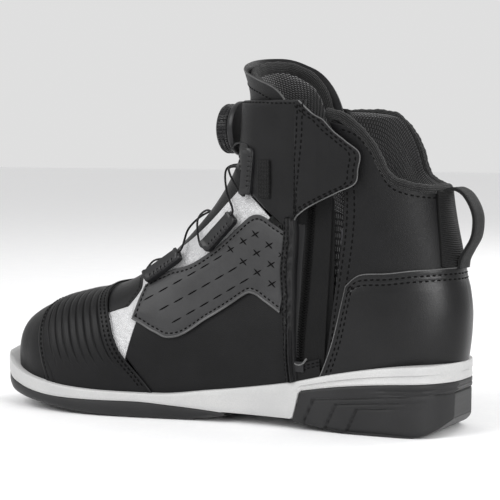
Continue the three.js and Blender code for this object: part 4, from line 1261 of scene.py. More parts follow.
# ------------------------------------------------------------------ toe and vamp
@dataclass
class Toe:
    """The toe cap, the ribbed panel behind it and the vamp."""

    finishes: Finishes
    seam_at: Profile = field(default_factory=lambda: Profile((0, 0.77), (55, 0.81), (84, 0.885), (108, 0.975)))
    rear_at: Profile = field(default_factory=lambda: Profile(
        (0, 1.38), (30, 1.395), (58, 1.44), (85, 1.53), (116, 1.66), (144, 1.91)))
    ribs: int = 8
    first_rib: float = 0.21
    rib_pitch: float = 0.092

    def spread(self, lower: Sequence[Place], upper: Sequence[Place]) -> Callable[[Array, Array], Array]:
        """A pattern round the tip of the toe, spread by direction because the fan has its pole there.

        Args:
            lower: one edge.
            upper: the other edge, facing it.

        Returns:
            The pattern.
        """
        heads = []
        for edge in (lower, upper):
            places = np.array(edge, float)
            heads.append(LAST.ray(np.minimum(places[:, 0], 0.9999), places[:, 1])[1])

        def place(u: Array, v: Array) -> Array:
            """The places at u and v."""
            a, b = (curve_through(rows, u) for rows in heads)
            d = unit(a + (b - a) * v[:, None])
            s = 1 + np.arcsin(np.clip(d[:, 0], -1, 1)) / (math.pi / 2)
            return np.stack([s, np.degrees(np.arctan2(-d[:, 1], d[:, 2]))], 1)
        return place

    def cap(self) -> Panel:
        """The smooth toe cap, its rear edge tucked under the ribbed panel."""
        seam = across_foot(self.seam_at, self.seam_at)(np.linspace(0, 1, 17), np.zeros(17))
        seam[:, 0] += 0.02
        stations = (-214, -224, -232, -239, -244, -247, -248.8, -249.6)
        low = [LAST.feather_place(x, Side.MEDIAL) for x in stations]
        far = [LAST.feather_place(x, Side.LATERAL) for x in reversed(stations)]
        nose = 0.3
        for step in (0.2, 0.1, 0.05, 0.02, 0.01, 0.005):
            while LAST.surface([[nose - step, 180.0]])[0, 2] < LAST.feather(-250.0) - 1:
                nose -= step
        return Panel("toe_cap_leather", self.spread(seam, [*low, (nose, 180.0), *far]), 120, 44,
                     lambda u, v, p: -0.5 * (1 - smooth_step(v, 0.0, 0.08)))

    def rib_relief(self, u: Array, v: Array, base: Array) -> Array:
        """Heights of the ribbed panel: a doubled front seam, moulded ribs and a thick rear edge.

        Args:
            u: share across the foot, from the inner to the outer edge.
            v: share from its front to its rear edge.
            base: the points on the last.

        Returns:
            The outer face's distance from the last.
        """
        across = abs(1 - 2 * u)
        relief = 1.0 - 0.55 * (1 - smooth_step(v, 0.0, 0.03))
        relief -= 0.6 * groove(v - 0.045, 0.009) + 0.55 * groove(v - 0.105, 0.009)
        for k in range(self.ribs):
            at = self.first_rib + k * self.rib_pitch
            top = smooth_step(across, 0.1 * (k - 4), 0.1 * (k - 4) + 0.1) if k > 4 else 1.0
            foot = 1 - smooth_step(across, 0.80 + 0.006 * k, 0.92)
            relief -= 0.75 * groove(v - at, 0.0085) * top * foot
            relief += 0.32 * groove(v - at - 0.036, 0.026) * top * foot
        relief += 0.9 * smooth_step(v, 0.965, 0.975)
        relief -= 0.4 * smooth_step(v, 0.99, 1.0)
        return relief

    def build(self) -> None:
        """Makes the toe pieces with their stitching and hands them over."""
        f = self.finishes
        cap = self.cap()
        deliver(cap.lay(), (f.leather, f.cut_edge), "boot", "leather", "toe_cap")

        ribbed = Panel("ribbed_panel_leather", across_foot(lambda t: self.seam_at(t) + 0.006, self.rear_at),
                       150, 190, self.rib_relief, 1.6)
        deliver(ribbed.lay(), (f.leather, f.cut_edge), "boot", "leather", "ribbed_toe_panel")
        rows = Stitching("ribbed_panel_stitching", 2.0, 1.0)
        for inset in (3.4, 6.0):
            rows.along(*ribbed.row(Rim.LAST, inset, 0.01, 0.99))
        rows.along(*ribbed.row(Rim.FIRST, 3.4, 0.01, 0.99))
        rows.sew_on("boot", f.thread)

        vamp_front = [(1.50, 79), (1.44, 60), (1.385, 40), (1.36, 20), (1.355, 0), (1.36, -20), (1.385, -40),
                      (1.44, -60), (1.50, -79)]
        vamp_rear = [(1.66, 79), (1.73, 64), (1.69, 45), (1.675, 22), (1.67, 0), (1.675, -22), (1.69, -45),
                     (1.73, -64), (1.66, -79)]
        vamp = Panel("vamp_leather", between(vamp_front, vamp_rear), 90, 20, 0.15, 1.2)
        deliver(vamp.lay(), (f.soft_leather, f.cut_edge), "boot", "soft_leather", "vamp")
        rows = Stitching("vamp_stitching", 1.8, 0.9, 0.6).along(*vamp.row(Rim.LAST, 1.8))
        rows.sew_on("boot", f.thread)


# ------------------------------------------------------------------ sides of the upper
@dataclass
class BootSide:
    """The quarter, the throat panel, the stitched overlay and the ankle panel of one side."""

    finishes: Finishes
    side: Side
    dash: float = 7.4
    cross: float = 6.2
    dash_slope: float = 29.5
    cross_slope: float = -42.0
    dash_rows: tuple = (((-143.1, 70.7), (-98.2, 96.1), (-89.4, 101.5), (-80.7, 106.5), (-72.6, 111.0)),
                        ((-132.4, 65.6), (-87.5, 89.9), (-80.3, 94.8), (-71.3, 100.2), (-63.2, 105.1)),
                        ((-123.8, 58.9), (-79.3, 83.7), (-70.6, 89.1), (-61.6, 94.1), (-55.0, 99.7)))
    lone_cross: tuple[float, float] = (-60.8, 83.0)
    dashes: int = 6

    def named(self, name: str) -> str:
        """The piece's name with its side."""
        return f"{name}_{self.side.word}"

    def finish(self, panel: Panel, material: bpy.types.Material, slot: str, node: str) -> None:
        """Lays a panel, dresses it and hands it over."""
        deliver(panel.lay(), (material, self.finishes.cut_edge), "boot", slot, node)

    def throat(self) -> Panel:
        """The white panel that runs from the ribbed toe panel up both sides of the throat."""
        outer = [(1.67, 121), (1.70, 112), (1.73, 103), (1.76, 95), (1.78, 86), (1.81, 78), (1.88, 73),
                 (2.05, 69), (2.21, 62), (2.38, 58), (2.54, 58)]
        inner = [(1.64, 119), (1.56, 106), (1.50, 90), (1.49, 74), (1.56, 62), (1.66, 52), (1.765, 45),
                 (1.93, 38), (2.14, 30), (2.34, 27), (2.54, 29)]
        return Panel(self.named("throat_panel_microfibre"),
                     between(sided(outer, self.side), sided(inner, self.side)), 120, 26, -0.55, 1.0, lined=1)

    def quarter(self) -> Panel:
        """The large lower panel between the ribbed toe panel and the zip."""
        rear = -44.0 if self.side is Side.LATERAL else -49.5
        stations = (-141, -130, -118, -105, -92, -79, -67, -57, rear)
        low = [LAST.feather_place(x, self.side) for x in stations]
        high = sided([(1.685, 118.5), (1.745, 97), (1.785, 82), (1.83, 74), (2.05, 70), (2.21, 64),
                      (2.38, 61), (2.52, 62), (2.55, 82)], self.side)
        return Panel(self.named("quarter_leather"), between(low, high), 130, 70,
                     lambda u, v, p: 0.1 - 0.45 * smooth_step(u, 0.97, 1.0), 1.3)

    def overlay(self) -> Panel:
        """The thick stitched overlay, with its deep notched lower edge."""
        low = sided([(1.722, 92.5), (1.80, 99.5), (1.90, 109), (2.02, 117), (2.144, 106), (2.285, 98.5),
                     (2.325, 102), (2.35, 113), (2.375, 125)], self.side)
        high = sided([(1.785, 64), (1.88, 60), (1.97, 58), (2.08, 54.5), (2.208, 49), (2.378, 45.5), (2.505, 49),
                      (2.54, 66), (2.555, 84)], self.side)

        def lift(u: Array, v: Array, base: Array) -> Array:
            """Slightly padded, and pressed down by its edge stitching."""
            edge = np.minimum(np.minimum(v, 1 - v) * 40, np.minimum(u, 1 - u) * 110)
            return 2.1 + 0.5 * smooth_step(edge, 2.5, 9) - 0.3 * groove(edge - 2.4, 0.8)
        return Panel(self.named("side_overlay_leather"), between(low, high), 160, 70, lift, 2.0, bevel=0.35)

    def decorate(self, overlay: Panel) -> None:
        """Sews the overlay: its edges, three rows of long dashes and the crosses that end them.

        Args:
            overlay: the laid panel.
        """
        f = self.finishes
        edge = Stitching(self.named("overlay_edge_stitching"), 2.2, 1.0, 0.9)
        edge.along(*overlay.row(Rim.FIRST, 2.4, 0.02, 0.97)).along(*overlay.row(Rim.LAST, 2.6, 0.02, 0.97))
        edge.along(*overlay.row(Rim.START, 2.4, 0.06, 0.94))
        edge.sew_on("boot", f.thread)

        rows = Stitching(self.named("overlay_dash_stitching"), width=0.85)
        for start, end, *crosses in self.dash_rows:
            for k in range(self.dashes):
                t = k / (self.dashes - 1)
                rows.places.append(self.stitch(overlay, start[0] + (end[0] - start[0]) * t,
                                               start[1] + (end[1] - start[1]) * t, self.dash_slope, self.dash))
            for x, z in crosses:
                self.cross_stitch(rows, overlay, x, z)
        self.cross_stitch(rows, overlay, *self.lone_cross)
        rows.sew_on("boot", f.thread)

    def stitch(self, panel: Panel, x: float, z: float, slope: float, length: float) -> tuple:
        """One stitch at a point in side view, at a slope in degrees.

        Args:
            panel: the panel that it is sewn on.
            x: its position along the boot.
            z: its height.
            slope: its slope, from level.
            length: its length.

        Returns:
            Its point, outward direction, own direction and length.
        """
        rise = math.radians(slope)
        ends = [LAST.surface([LAST.place(x + k * math.cos(rise) * 2, z + k * math.sin(rise) * 2, self.side)])[0]
                for k in (-1, 1)]
        centre = np.mean(ends, axis=0)
        flat = panel.points.reshape(-1, 3)
        near = np.argsort(((flat - centre) ** 2).sum(1))[:4]
        head = unit(panel.normals.reshape(-1, 3)[near].mean(0))
        height = ((flat[near] - centre) @ head).mean()
        return centre + head * (height + 0.08), head, unit(ends[1] - ends[0]), length

    def cross_stitch(self, rows: Stitching, panel: Panel, x: float, z: float) -> None:
        """Two stitches that cross at a point in side view."""
        for slope in (self.dash_slope, self.cross_slope):
            rows.places.append(self.stitch(panel, x, z, slope, self.cross))

    def ankle(self) -> Panel:
        """The padded panel beside the tongue. It is crowned, and drawn down along its seams."""
        front = sided([(3.175, 13), (3.08, 12.5), (2.98, 13), (2.85, 14), (2.72, 17), (2.60, 25), (2.555, 38)],
                      self.side)
        corner = [(3.17, 71), (3.10, 70)] if self.side is Side.MEDIAL else [(3.10, 58), (3.065, 66)]
        rear = sided([*corner, (3.03, 68), (2.90, 68), (2.76, 72), (2.64, 80), (2.565, 87)],
                     self.side)

        def lift(u: Array, v: Array, base: Array) -> Array:
            """The crown of the padding."""
            edge = np.minimum(np.minimum(v, 1 - v) * 48, np.minimum(u, 1 - u) * 80)
            crown = 1 - (1 - np.clip(edge / 14, 0, 1)) ** 2.2
            height = 3.4 - 2.9 * smooth_step(v, 0.3, 0.7) * (self.side is Side.MEDIAL)
            return 0.7 + height * crown + 0.25 * np.sin(base[:, 2] * 0.17 + base[:, 0] * 0.11) * crown
        return Panel(self.named("ankle_panel_padded"), between(front, rear), 90, 60, lift, 3.2, bevel=0.8)

    def build(self) -> None:
        """Makes the side's pieces and hands them over."""
        f, word = self.finishes, self.side.word
        self.finish(self.throat(), f.reflective, "reflective", f"throat_panel_{word}")
        self.finish(self.quarter(), f.leather, "leather", f"quarter_{word}")
        overlay = self.overlay()
        self.finish(overlay, f.overlay, "soft_leather", f"side_overlay_{word}")
        raw_edge(overlay, Rim.FIRST, f.cut_edge, "boot", 0.7)
        raw_edge(overlay, Rim.START, f.cut_edge, "boot")
        self.decorate(overlay)
        ankle = self.ankle()
        piece = ankle.lay()
        dress(piece, f.soft_leather, f.soft_leather)
        hand_over(piece, "boot", "soft_leather", f"ankle_panel_{word}")
        rows = Stitching(self.named("ankle_panel_stitching"), 2.2, 1.0, 0.85)
        rows.along(*ankle.row(Rim.FIRST, 2.0, 0.02, 0.98)).along(*ankle.row(Rim.START, 2.0, 0.03, 0.97))
        rows.sew_on("boot", f.thread)


def raw_edge(panel: Panel, rim: Rim, material: bpy.types.Material, body: str, radius: float = 0.42) -> None:
    """Draws the pale fibres that stand out along a cut edge.

    Args:
        panel: the laid panel.
        rim: its edge.
        material: the raw edge's finish.
        body: the body that it rides on.
        radius: how thick the line of fibres is.
    """
    points, heads = panel.row(rim, 0.15)
    piece = Tube(f"{panel.name}_raw_{rim.name.lower()}", radius, 1.0, 8).sweep(points - heads * 0.35, heads)
    deliver(piece, (material,), body, "leather")


# ------------------------------------------------------------------ pads and ribbons
@dataclass
class Pad:
    """A closed, crowned cushion between two skins that meet along its seam."""

    name: str
    place: Callable[[Array, Array], Array]
    columns: int
    rows: int
    outer: float
    inner: float
    crown: float = 9.0
    swell: float = 0.5
    flare: Callable[[Array], Array] | None = None
    frames: int = 12

    def stuff(self) -> bpy.types.Object:
        """Makes the cushion.

        Returns:
            The piece, with a UV map in metres on both skins.
        """
        u, v = (a.ravel() for a in np.meshgrid(np.linspace(0, 1, self.columns + 1),
                                               np.linspace(0, 1, self.rows + 1), indexing="ij"))
        base = LAST.surface(self.place(u, v))
        normal = LAST.normal(base)
        grid = base.reshape(self.columns + 1, self.rows + 1, 3)
        long, wide = steps_of(grid[:, self.rows // 2]).sum(), steps_of(grid[self.columns // 2]).sum()
        edge = np.minimum(np.minimum(v, 1 - v) * wide, np.minimum(u, 1 - u) * long)
        full = 1 - (1 - np.clip(edge / self.crown, 0, 1)) ** 2.4
        middle, half = (self.outer + self.inner) / 2, (self.outer - self.inner) / 2
        lean = self.flare(base[:, 2]) if self.flare else 0
        skins = [base + normal * (middle + sign * half * full + lean)[:, None] for sign in (1, -1)]
        rim = (np.isclose(u, 0) | np.isclose(u, 1) | np.isclose(v, 0) | np.isclose(v, 1))
        count, n = len(u), self.rows + 1
        lower = np.where(rim, np.arange(count), np.arange(count) + count)
        faces = []
        for i in range(self.columns):
            for j in range(self.rows):
                a, b, c, d = i * n + j, (i + 1) * n + j, (i + 1) * n + j + 1, i * n + j + 1
                faces += [(a, b, c, d), (lower[d], lower[c], lower[b], lower[a])]
        obj = mesh_object(self.name, np.concatenate(skins), faces)
        write_map(obj, obj.data.uv_layers.new(name="cloth"), np.tile(np.stack([u * long, v * wide], 1), (2, 1)))
        obj.vertex_groups.new(name="seam").add(np.nonzero(rim)[0].tolist(), 1.0, "REPLACE")
        recalculate(obj, 1e-7)
        self.fill(obj)
        smooth(obj, 60)
        return obj

    def fill(self, obj: bpy.types.Object) -> None:
        """Lets the filling press the cover out by cloth simulation, with its seam held and the swell capped.

        Args:
            obj: the cushion.
        """
        before = read_points(obj)
        select_only(obj)
        cloth = obj.modifiers.new("Cloth", "CLOTH")
        cloth.settings.quality = 4
        cloth.settings.mass = 0.2
        cloth.settings.tension_stiffness = 12
        cloth.settings.bending_stiffness = 0.4
        cloth.settings.vertex_group_mass = "seam"
        cloth.settings.use_pressure = True
        cloth.settings.uniform_pressure_force = 3.0
        cloth.settings.effector_weights.gravity = 0.0
        cloth.collision_settings.use_collision = False
        scene = bpy.context.scene
        for number in range(self.frames):
            scene.frame_set(number + 1)
        bpy.ops.object.modifier_apply(modifier=cloth.name)
        scene.frame_set(1)
        move = read_points(obj) - before
        size = np.linalg.norm(move, axis=1, keepdims=True)
        limit = self.swell * MM
        write_points(obj, before + move * np.minimum(1, limit / np.maximum(size, 1e-9)))


def ribbon_section(width: float, thick: float) -> list[Place]:
    """The outline of a flat woven strap with soft edges: pairs of across and out."""
    w, t = width / 2, thick / 2
    return [(w - 0.35 * t, -t), (w, -0.4 * t), (w, 0.4 * t), (w - 0.35 * t, t), (w / 2, t), (0, t), (-w / 2, t),
            (-w + 0.35 * t, t), (-w, 0.4 * t), (-w, -0.4 * t), (-w + 0.35 * t, -t), (-w / 2, -t), (0, -t),
            (w / 2, -t)]


def smooth_line(points: Sequence[Sequence[float]], step: float) -> Array:
    """A smooth line through points in space, evenly spaced, that never overshoots them."""
    p = np.array(points, float)
    walked = walk(p)
    at = np.linspace(0, walked[-1], max(int(walked[-1] / step), 2) + 1)
    return np.stack([Profile(*zip(walked, p[:, k]))(at) for k in range(3)], 1)


def taut_line(points: Sequence[Array], step: float) -> Array:
    """A cord's line through its points, evenly spaced (a centripetal Catmull-Rom curve)."""
    p = np.array(points, float)
    p = np.concatenate([[2 * p[0] - p[1]], p, [2 * p[-1] - p[-2]]])
    knots = np.concatenate([[0], np.cumsum(np.sqrt(steps_of(p)))])
    line = []
    for i in range(1, len(p) - 2):
        t = np.linspace(knots[i], knots[i + 1], 24, endpoint=False)[:, None]
        k = knots[i - 1:i + 3]
        a = [((k[j + 1] - t) * p[i - 1 + j] + (t - k[j]) * p[i + j]) / (k[j + 1] - k[j]) for j in range(3)]
        b = [((k[j + 2] - t) * a[j] + (t - k[j]) * a[j + 1]) / (k[j + 2] - k[j]) for j in range(2)]
        line.append(((k[2] - t) * b[0] + (t - k[1]) * b[1]) / (k[2] - k[1]))
    line = np.concatenate([*line, p[-2:-1]])
    walked = walk(line)
    at = np.linspace(0, walked[-1], int(walked[-1] / step) + 1)
    return np.stack([np.interp(at, walked, line[:, c]) for c in range(3)], 1)


# ------------------------------------------------------------------ back of the boot
@dataclass
class BackOfBoot:
    """The rear quarter, the heel counter, the pull loop, the lining and the collar."""

    finishes: Finishes
    loop_width: float = 16.0
    loop_thickness: float = 1.8
    loop_route: tuple = ((33.5, 137.5), (37, 138.2), (41.5, 136.6), (47.0, 130), (49.8, 120.5), (48.6, 111),
                         (44.5, 103.5), (41.8, 98), (41.2, 93.5))

    @staticmethod
    def whole(place: Place) -> Place:
        """The same place with its turn counted on past the back."""
        return place[0], place[1] + 360 if place[1] < 0 else place[1]

    def round_heel(self, inner: Sequence[Place], back: float, ahead: Sequence[Place] = ()) -> list[Place]:
        """An edge back along the inner side, round the heel and forward again, with places added ahead."""
        return [*inner, (back, 180.0), *[(s, 360 - turn) for s, turn in reversed(inner)], *ahead]

    def back_feather(self, lift: float) -> float:
        """The s at which the back of the heel is at a height above the feather line."""
        low, high = 2.40, 2.80
        for _ in range(14):
            half = (low + high) / 2
            p = LAST.surface([[half, 180.0]])[0]
            low, high = (low, half) if p[2] > LAST.feather(p[0]) + lift else (half, high)
        return (low + high) / 2

    def foot_edge(self, stations: Sequence[float], lift: float = -1.0) -> list[Place]:
        """An edge round the heel at a height above the feather line."""
        medial = [LAST.feather_place(x, Side.MEDIAL, lift) for x in stations]
        lateral = [self.whole(LAST.feather_place(x, Side.LATERAL, lift)) for x in reversed(stations)]
        return [*medial, (self.back_feather(lift), 180.0), *lateral]

    def quarter(self) -> Panel:
        """The tall rear quarter."""
        medial = [LAST.feather_place(x) for x in (-30.5, -14, 2, 16, 29)]
        lateral = [self.whole(LAST.feather_place(x, Side.LATERAL)) for x in (29, 16, 2, -14, -36, -62)]
        lower = [*medial, (self.back_feather(-1), 180.0), *lateral]
        upper = [LAST.place(-24.5, 176), (2.965, 112), (2.91, 127), (2.845, 140), (2.832, 155), (2.84, 180),
                 (2.832, 205), (2.845, 220), (2.91, 233), (2.965, 249), (3.0, 272), (3.01, 308)]
        return Panel("rear_quarter_leather", between(lower, upper), 220, 80, 0.35, 1.4)

    def counter(self) -> Panel:
        """The stiff heel counter, lapped over the rear quarter."""
        rim = [(2.560, 140.2), (2.602, 143.0), (2.64, 152), (2.675, 161), (2.70, 171)]

        def lift(u: Array, v: Array, base: Array) -> Array:
            """Pressed down along its double seam and a little fuller inside it."""
            edge = np.minimum((1 - v) * 55, np.minimum(u, 1 - u) * 165)
            return 2.0 + 0.35 * smooth_step(edge, 7, 12) - 0.25 * (groove(edge - 3.4, 0.7) + groove(edge - 6.4, 0.7))
        return Panel("heel_counter_leather", between(self.foot_edge((-32, -20, -4, 14, 29)),
                                                     self.round_heel(rim, 2.706)), 220, 70, lift, 2.0, bevel=0.3)

    def sew_back(self, quarter: Panel, counter: Panel) -> None:
        """Sews the counter's double seam and the double row beside the zip."""
        rows = Stitching("heel_counter_stitching", 2.3, 1.2)
        for inset in (3.4, 6.4):
            rows.along(*counter.row(Rim.LAST, inset, 0.03, 0.97))
            rows.along(*counter.row(Rim.START, inset, 0.0, 0.93)).along(*counter.row(Rim.END, inset, 0.0, 0.93))
        for inset in (1.8, 6.0):
            rows.along(*quarter.row(Rim.START, inset, 0.0, 0.93)).along(*quarter.row(Rim.END, inset, 0.0, 0.93))
        rows.along(*quarter.row(Rim.LAST, 3.2, 0.04, 0.96))
        rows.sew_on("boot", self.finishes.thread)

    def pull_loop(self) -> bpy.types.Object:
        """The ribbed webbing loop and its sewn-down base."""
        line = smooth_line([(x, 0, z) for x, z in self.loop_route], 0.6)
        ahead = unit(np.gradient(line, axis=0))
        heads = unit(np.cross(ahead, np.array([[0.0, 1.0, 0.0]])))
        section = ribbon_section(self.loop_width, self.loop_thickness)
        return Tube("pull_loop_webbing", 1.0, section=section).sweep(line, heads)

    def base_tape(self) -> bpy.types.Object:
        """The webbing that lies flat on the back under the loop."""
        rows = [[(s, turn) for turn in (169, 180, 191)] for s in (2.70, 2.84)]
        return Panel("loop_base_webbing", between(*rows), 40, 60, 1.9, 1.4, bevel=0.2).lay()

    def collar(self) -> None:
        """The padded collar: an inner cushion of mesh, and a knit roll along the top line."""
        f = self.finishes
        low = [(2.70, 84), (2.70, 104), (2.70, 124), (2.69, 142), (2.685, 162)]
        high = [(3.04, 90), (2.995, 109), (2.93, 126), (2.862, 140), (2.848, 158)]
        pad = Pad("collar_cushion", between(self.round_heel(low, 2.685, [(2.70, 298)]),
                                            self.round_heel(high, 2.852, [(3.06, 298)])),
                  150, 30, -1.6, -8.6, 12.0, 0.6)
        piece = pad.stuff()
        dress(piece, f.mesh)
        hand_over(piece, "boot", "mesh", "collar_padding")
        top = self.round_heel([(3.03, 88), (2.972, 111), (2.915, 126.5), (2.848, 140), (2.835, 156)], 2.843,
                              [(3.03, 299)])
        count = 170
        points = LAST.surface(curve_through(top, np.linspace(0, 1, count)))
        heads = LAST.normal(points)
        wobble = 0.05 * np.sin(np.arange(count) * 1.9) + 0.05 * np.sin(np.arange(count) * 0.7)
        taper = 1 + wobble
        roll = Tube("collar_roll", 3.0, 0.95, 14).sweep(points - heads * 1.5 + np.array([0, 0, 0.6]), heads, taper)
        dress(roll, f.binding)
        hand_over(roll, "boot", "mesh")

    def lining(self) -> None:
        """The mesh lining of the quarters and of the vamp, and the ankle pads between the layers."""
        f = self.finishes
        low = self.foot_edge((-146, -124, -100, -76, -50, -24, 0, 24), 9)
        high = [(1.80, 76), (2.0, 70), (2.25, 62), (2.45, 60), (2.62, 78), (2.73, 104), (2.725, 134), (2.71, 162)]
        lining = Panel("quarter_lining_mesh", between(low, self.round_heel(high, 2.705)), 200, 40, -4.1, 1.5,
                       floor=3.0, bevel=0)
        deliver(lining.lay(), (f.mesh, f.mesh), "boot", "mesh", "quarter_lining")
        edges = [[LAST.feather_place(x, side, 9) for x in (-216, -204, -192, -180, -168, -157)] for side in Side]
        piece = Panel("vamp_lining_mesh", between(*edges), 40, 60, -4.1, 1.5, floor=3.0, bevel=0).lay()
        dress(piece, f.mesh, f.mesh)
        hand_over(piece, "boot", "mesh", "vamp_lining")
        for side in Side:
            rows = [[LAST.place(-4 + dx, z, side) for dx in (-16, 0, 16)] for z in (83, 115)]
            pad = Pad(f"ankle_pad_foam_{side.word}", between(*rows), 20, 20, -2.2, -3.6, 6.0, 0.2)
            piece = pad.stuff()
            dress(piece, f.foam)
            hand_over(piece, "boot", "foam", f"ankle_protector_{side.word}")

    def build(self) -> None:
        """Makes the back of the boot and hands its pieces over."""
        f = self.finishes
        quarter, counter = self.quarter(), self.counter()
        deliver(quarter.lay(), (f.leather, f.cut_edge), "boot", "leather", "rear_quarter")
        deliver(counter.lay(), (f.polished, f.cut_edge), "boot", "leather", "heel_counter")
        for rim in (Rim.LAST, Rim.START, Rim.END):
            raw_edge(counter, rim, f.cut_edge, "boot")
        self.sew_back(quarter, counter)
        deliver(self.pull_loop(), (f.webbing,), "boot", "webbing", "pull_loop")
        deliver(self.base_tape(), (f.webbing, f.webbing), "boot", "webbing", "loop_base_tape")
        self.collar()
        self.lining()


# ------------------------------------------------------------------ tongue
@dataclass
class Tongue:
    """The padded tongue, rooted under the vamp, its top flared forward."""

    finishes: Finishes
    top: float = 214.0
    flare_from: float = 189.0
    flare_by: float = 7.0
    bend_from: tuple = (-0.138, 0.0, 0.088)
    bend_to: tuple = (-0.108, 0.0, 0.130)
    shoulder: Profile = field(default_factory=lambda: Profile(
        (-60, 36), (-55, 24), (-48, 11), (-38, 3.5), (-25, 0), (-10, 1), (5, 4), (20, 9), (35, 14), (50, 22), (60, 36)))
    half_turn: Profile = field(default_factory=lambda: Profile(
        (1.62, 50), (1.9, 46), (2.3, 40), (2.6, 46), (2.9, 56), (3.2, 58), (3.6, 52)))

    def flare(self, z: Array) -> Array:
        """How far the top leans away from the shin at a height."""
        return self.flare_by * smooth_step(z, self.flare_from, self.top + 4)

    def place(self, start: float, drop: float, narrower: float) -> Callable[[Array, Array], Array]:
        """The tongue's pattern.

        Args:
            start: the s of its lower end.
            drop: how far its top lies below the leather's.
            narrower: how many degrees narrower it is on each side.

        Returns:
            The pattern, with u up the tongue and v across it.
        """
        def at(u: Array, v: Array) -> Array:
            """The places at u and v."""
            across = 2 * v - 1
            top = 3 + (self.top - drop - self.shoulder(across * 60) - LAST.turn_z) / LAST.turn_rise
            s = start + (top - start) * u
            return np.stack([s, across * (self.half_turn(s) - narrower)], 1)
        return at

    def hand_bent(self, piece: bpy.types.Object, slot: str, *nodes: str) -> None:
        """Bakes a tongue piece in place and hides the frame's nodes that it replaces."""
        if nodes:
            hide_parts(*nodes)
        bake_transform(piece)
        LOG.info("%s: %d faces, bent", piece.name, len(piece.data.polygons))

    def border(self) -> bpy.types.Object:
        """The soft knit roll that edges the inside of the tongue."""
        place = self.place(1.74, 5.5, 5.0)
        # The corners are left out, so that the roll turns round them in a curve.
        up, over = np.linspace(0.55, 1.0, 50)[:-3], np.linspace(0, 1, 60)[2:-2]
        u = np.concatenate([up, np.ones(len(over)), up[::-1]])
        v = np.concatenate([np.zeros(len(up)), over, np.ones(len(up))])
        points = LAST.surface(place(u, v))
        heads = LAST.normal(points)
        line = points + heads * (self.flare(points[:, 2]) - 6.3)[:, None]
        for _ in range(12):
            line[1:-1] = (line[:-2] + 2 * line[1:-1] + line[2:]) / 4
        taper = 1 + 0.05 * np.sin(np.arange(len(line)) * 1.3) + 0.04 * np.sin(np.arange(len(line)) * 0.37)
        return Tube("tongue_border_roll", 4.3, 0.62, 14).sweep(line, heads, taper)

    def build(self) -> None:
        """Makes the tongue's pieces, bakes them in place and hides the frame's nodes that they replace."""
        f = self.finishes
        shell = Panel("tongue_leather", self.place(1.60, 0, 0), 150, 70,
                      lambda u, v, p: -2.3 + self.flare(p[:, 2]), 1.4, bevel=0.35)
        piece = shell.lay()
        dress(piece, f.soft_leather, f.cut_edge)
        self.hand_bent(piece, "soft_leather", "tongue")
        points, heads = shell.row(Rim.END, 0.15)
        piece = Tube("tongue_raw_edge", 0.45, 1.0, 8).sweep(points - heads * 0.35, heads)
        dress(piece, f.cut_edge)
        self.hand_bent(piece, "leather")
        rows = Stitching("tongue_stitching", 2.2, 1.0, 0.85)
        rows.along(*shell.row(Rim.END, 9.0, 0.04, 0.96))
        piece = rows.sew()
        dress(piece, f.thread)
        self.hand_bent(piece, "leather")
        pad = Pad("tongue_cushion", self.place(1.86, 7.0, 8.0), 120, 50, -4.2, -9.0, 7.0, 0.6, self.flare)
        piece = pad.stuff()
        dress(piece, f.mesh)
        self.hand_bent(piece, "mesh", "tongue_padding")
        piece = self.border()
        dress(piece, f.binding)
        self.hand_bent(piece, "mesh")


# ------------------------------------------------------------------ zip and flap
ZIP_X, ZIP_Z, ZIP_LEAN = -38.2, 110, 0.0757


def zip_line(z: float) -> float:
    """The x of the zip's middle at a height."""
    return ZIP_X + (z - ZIP_Z) * ZIP_LEAN


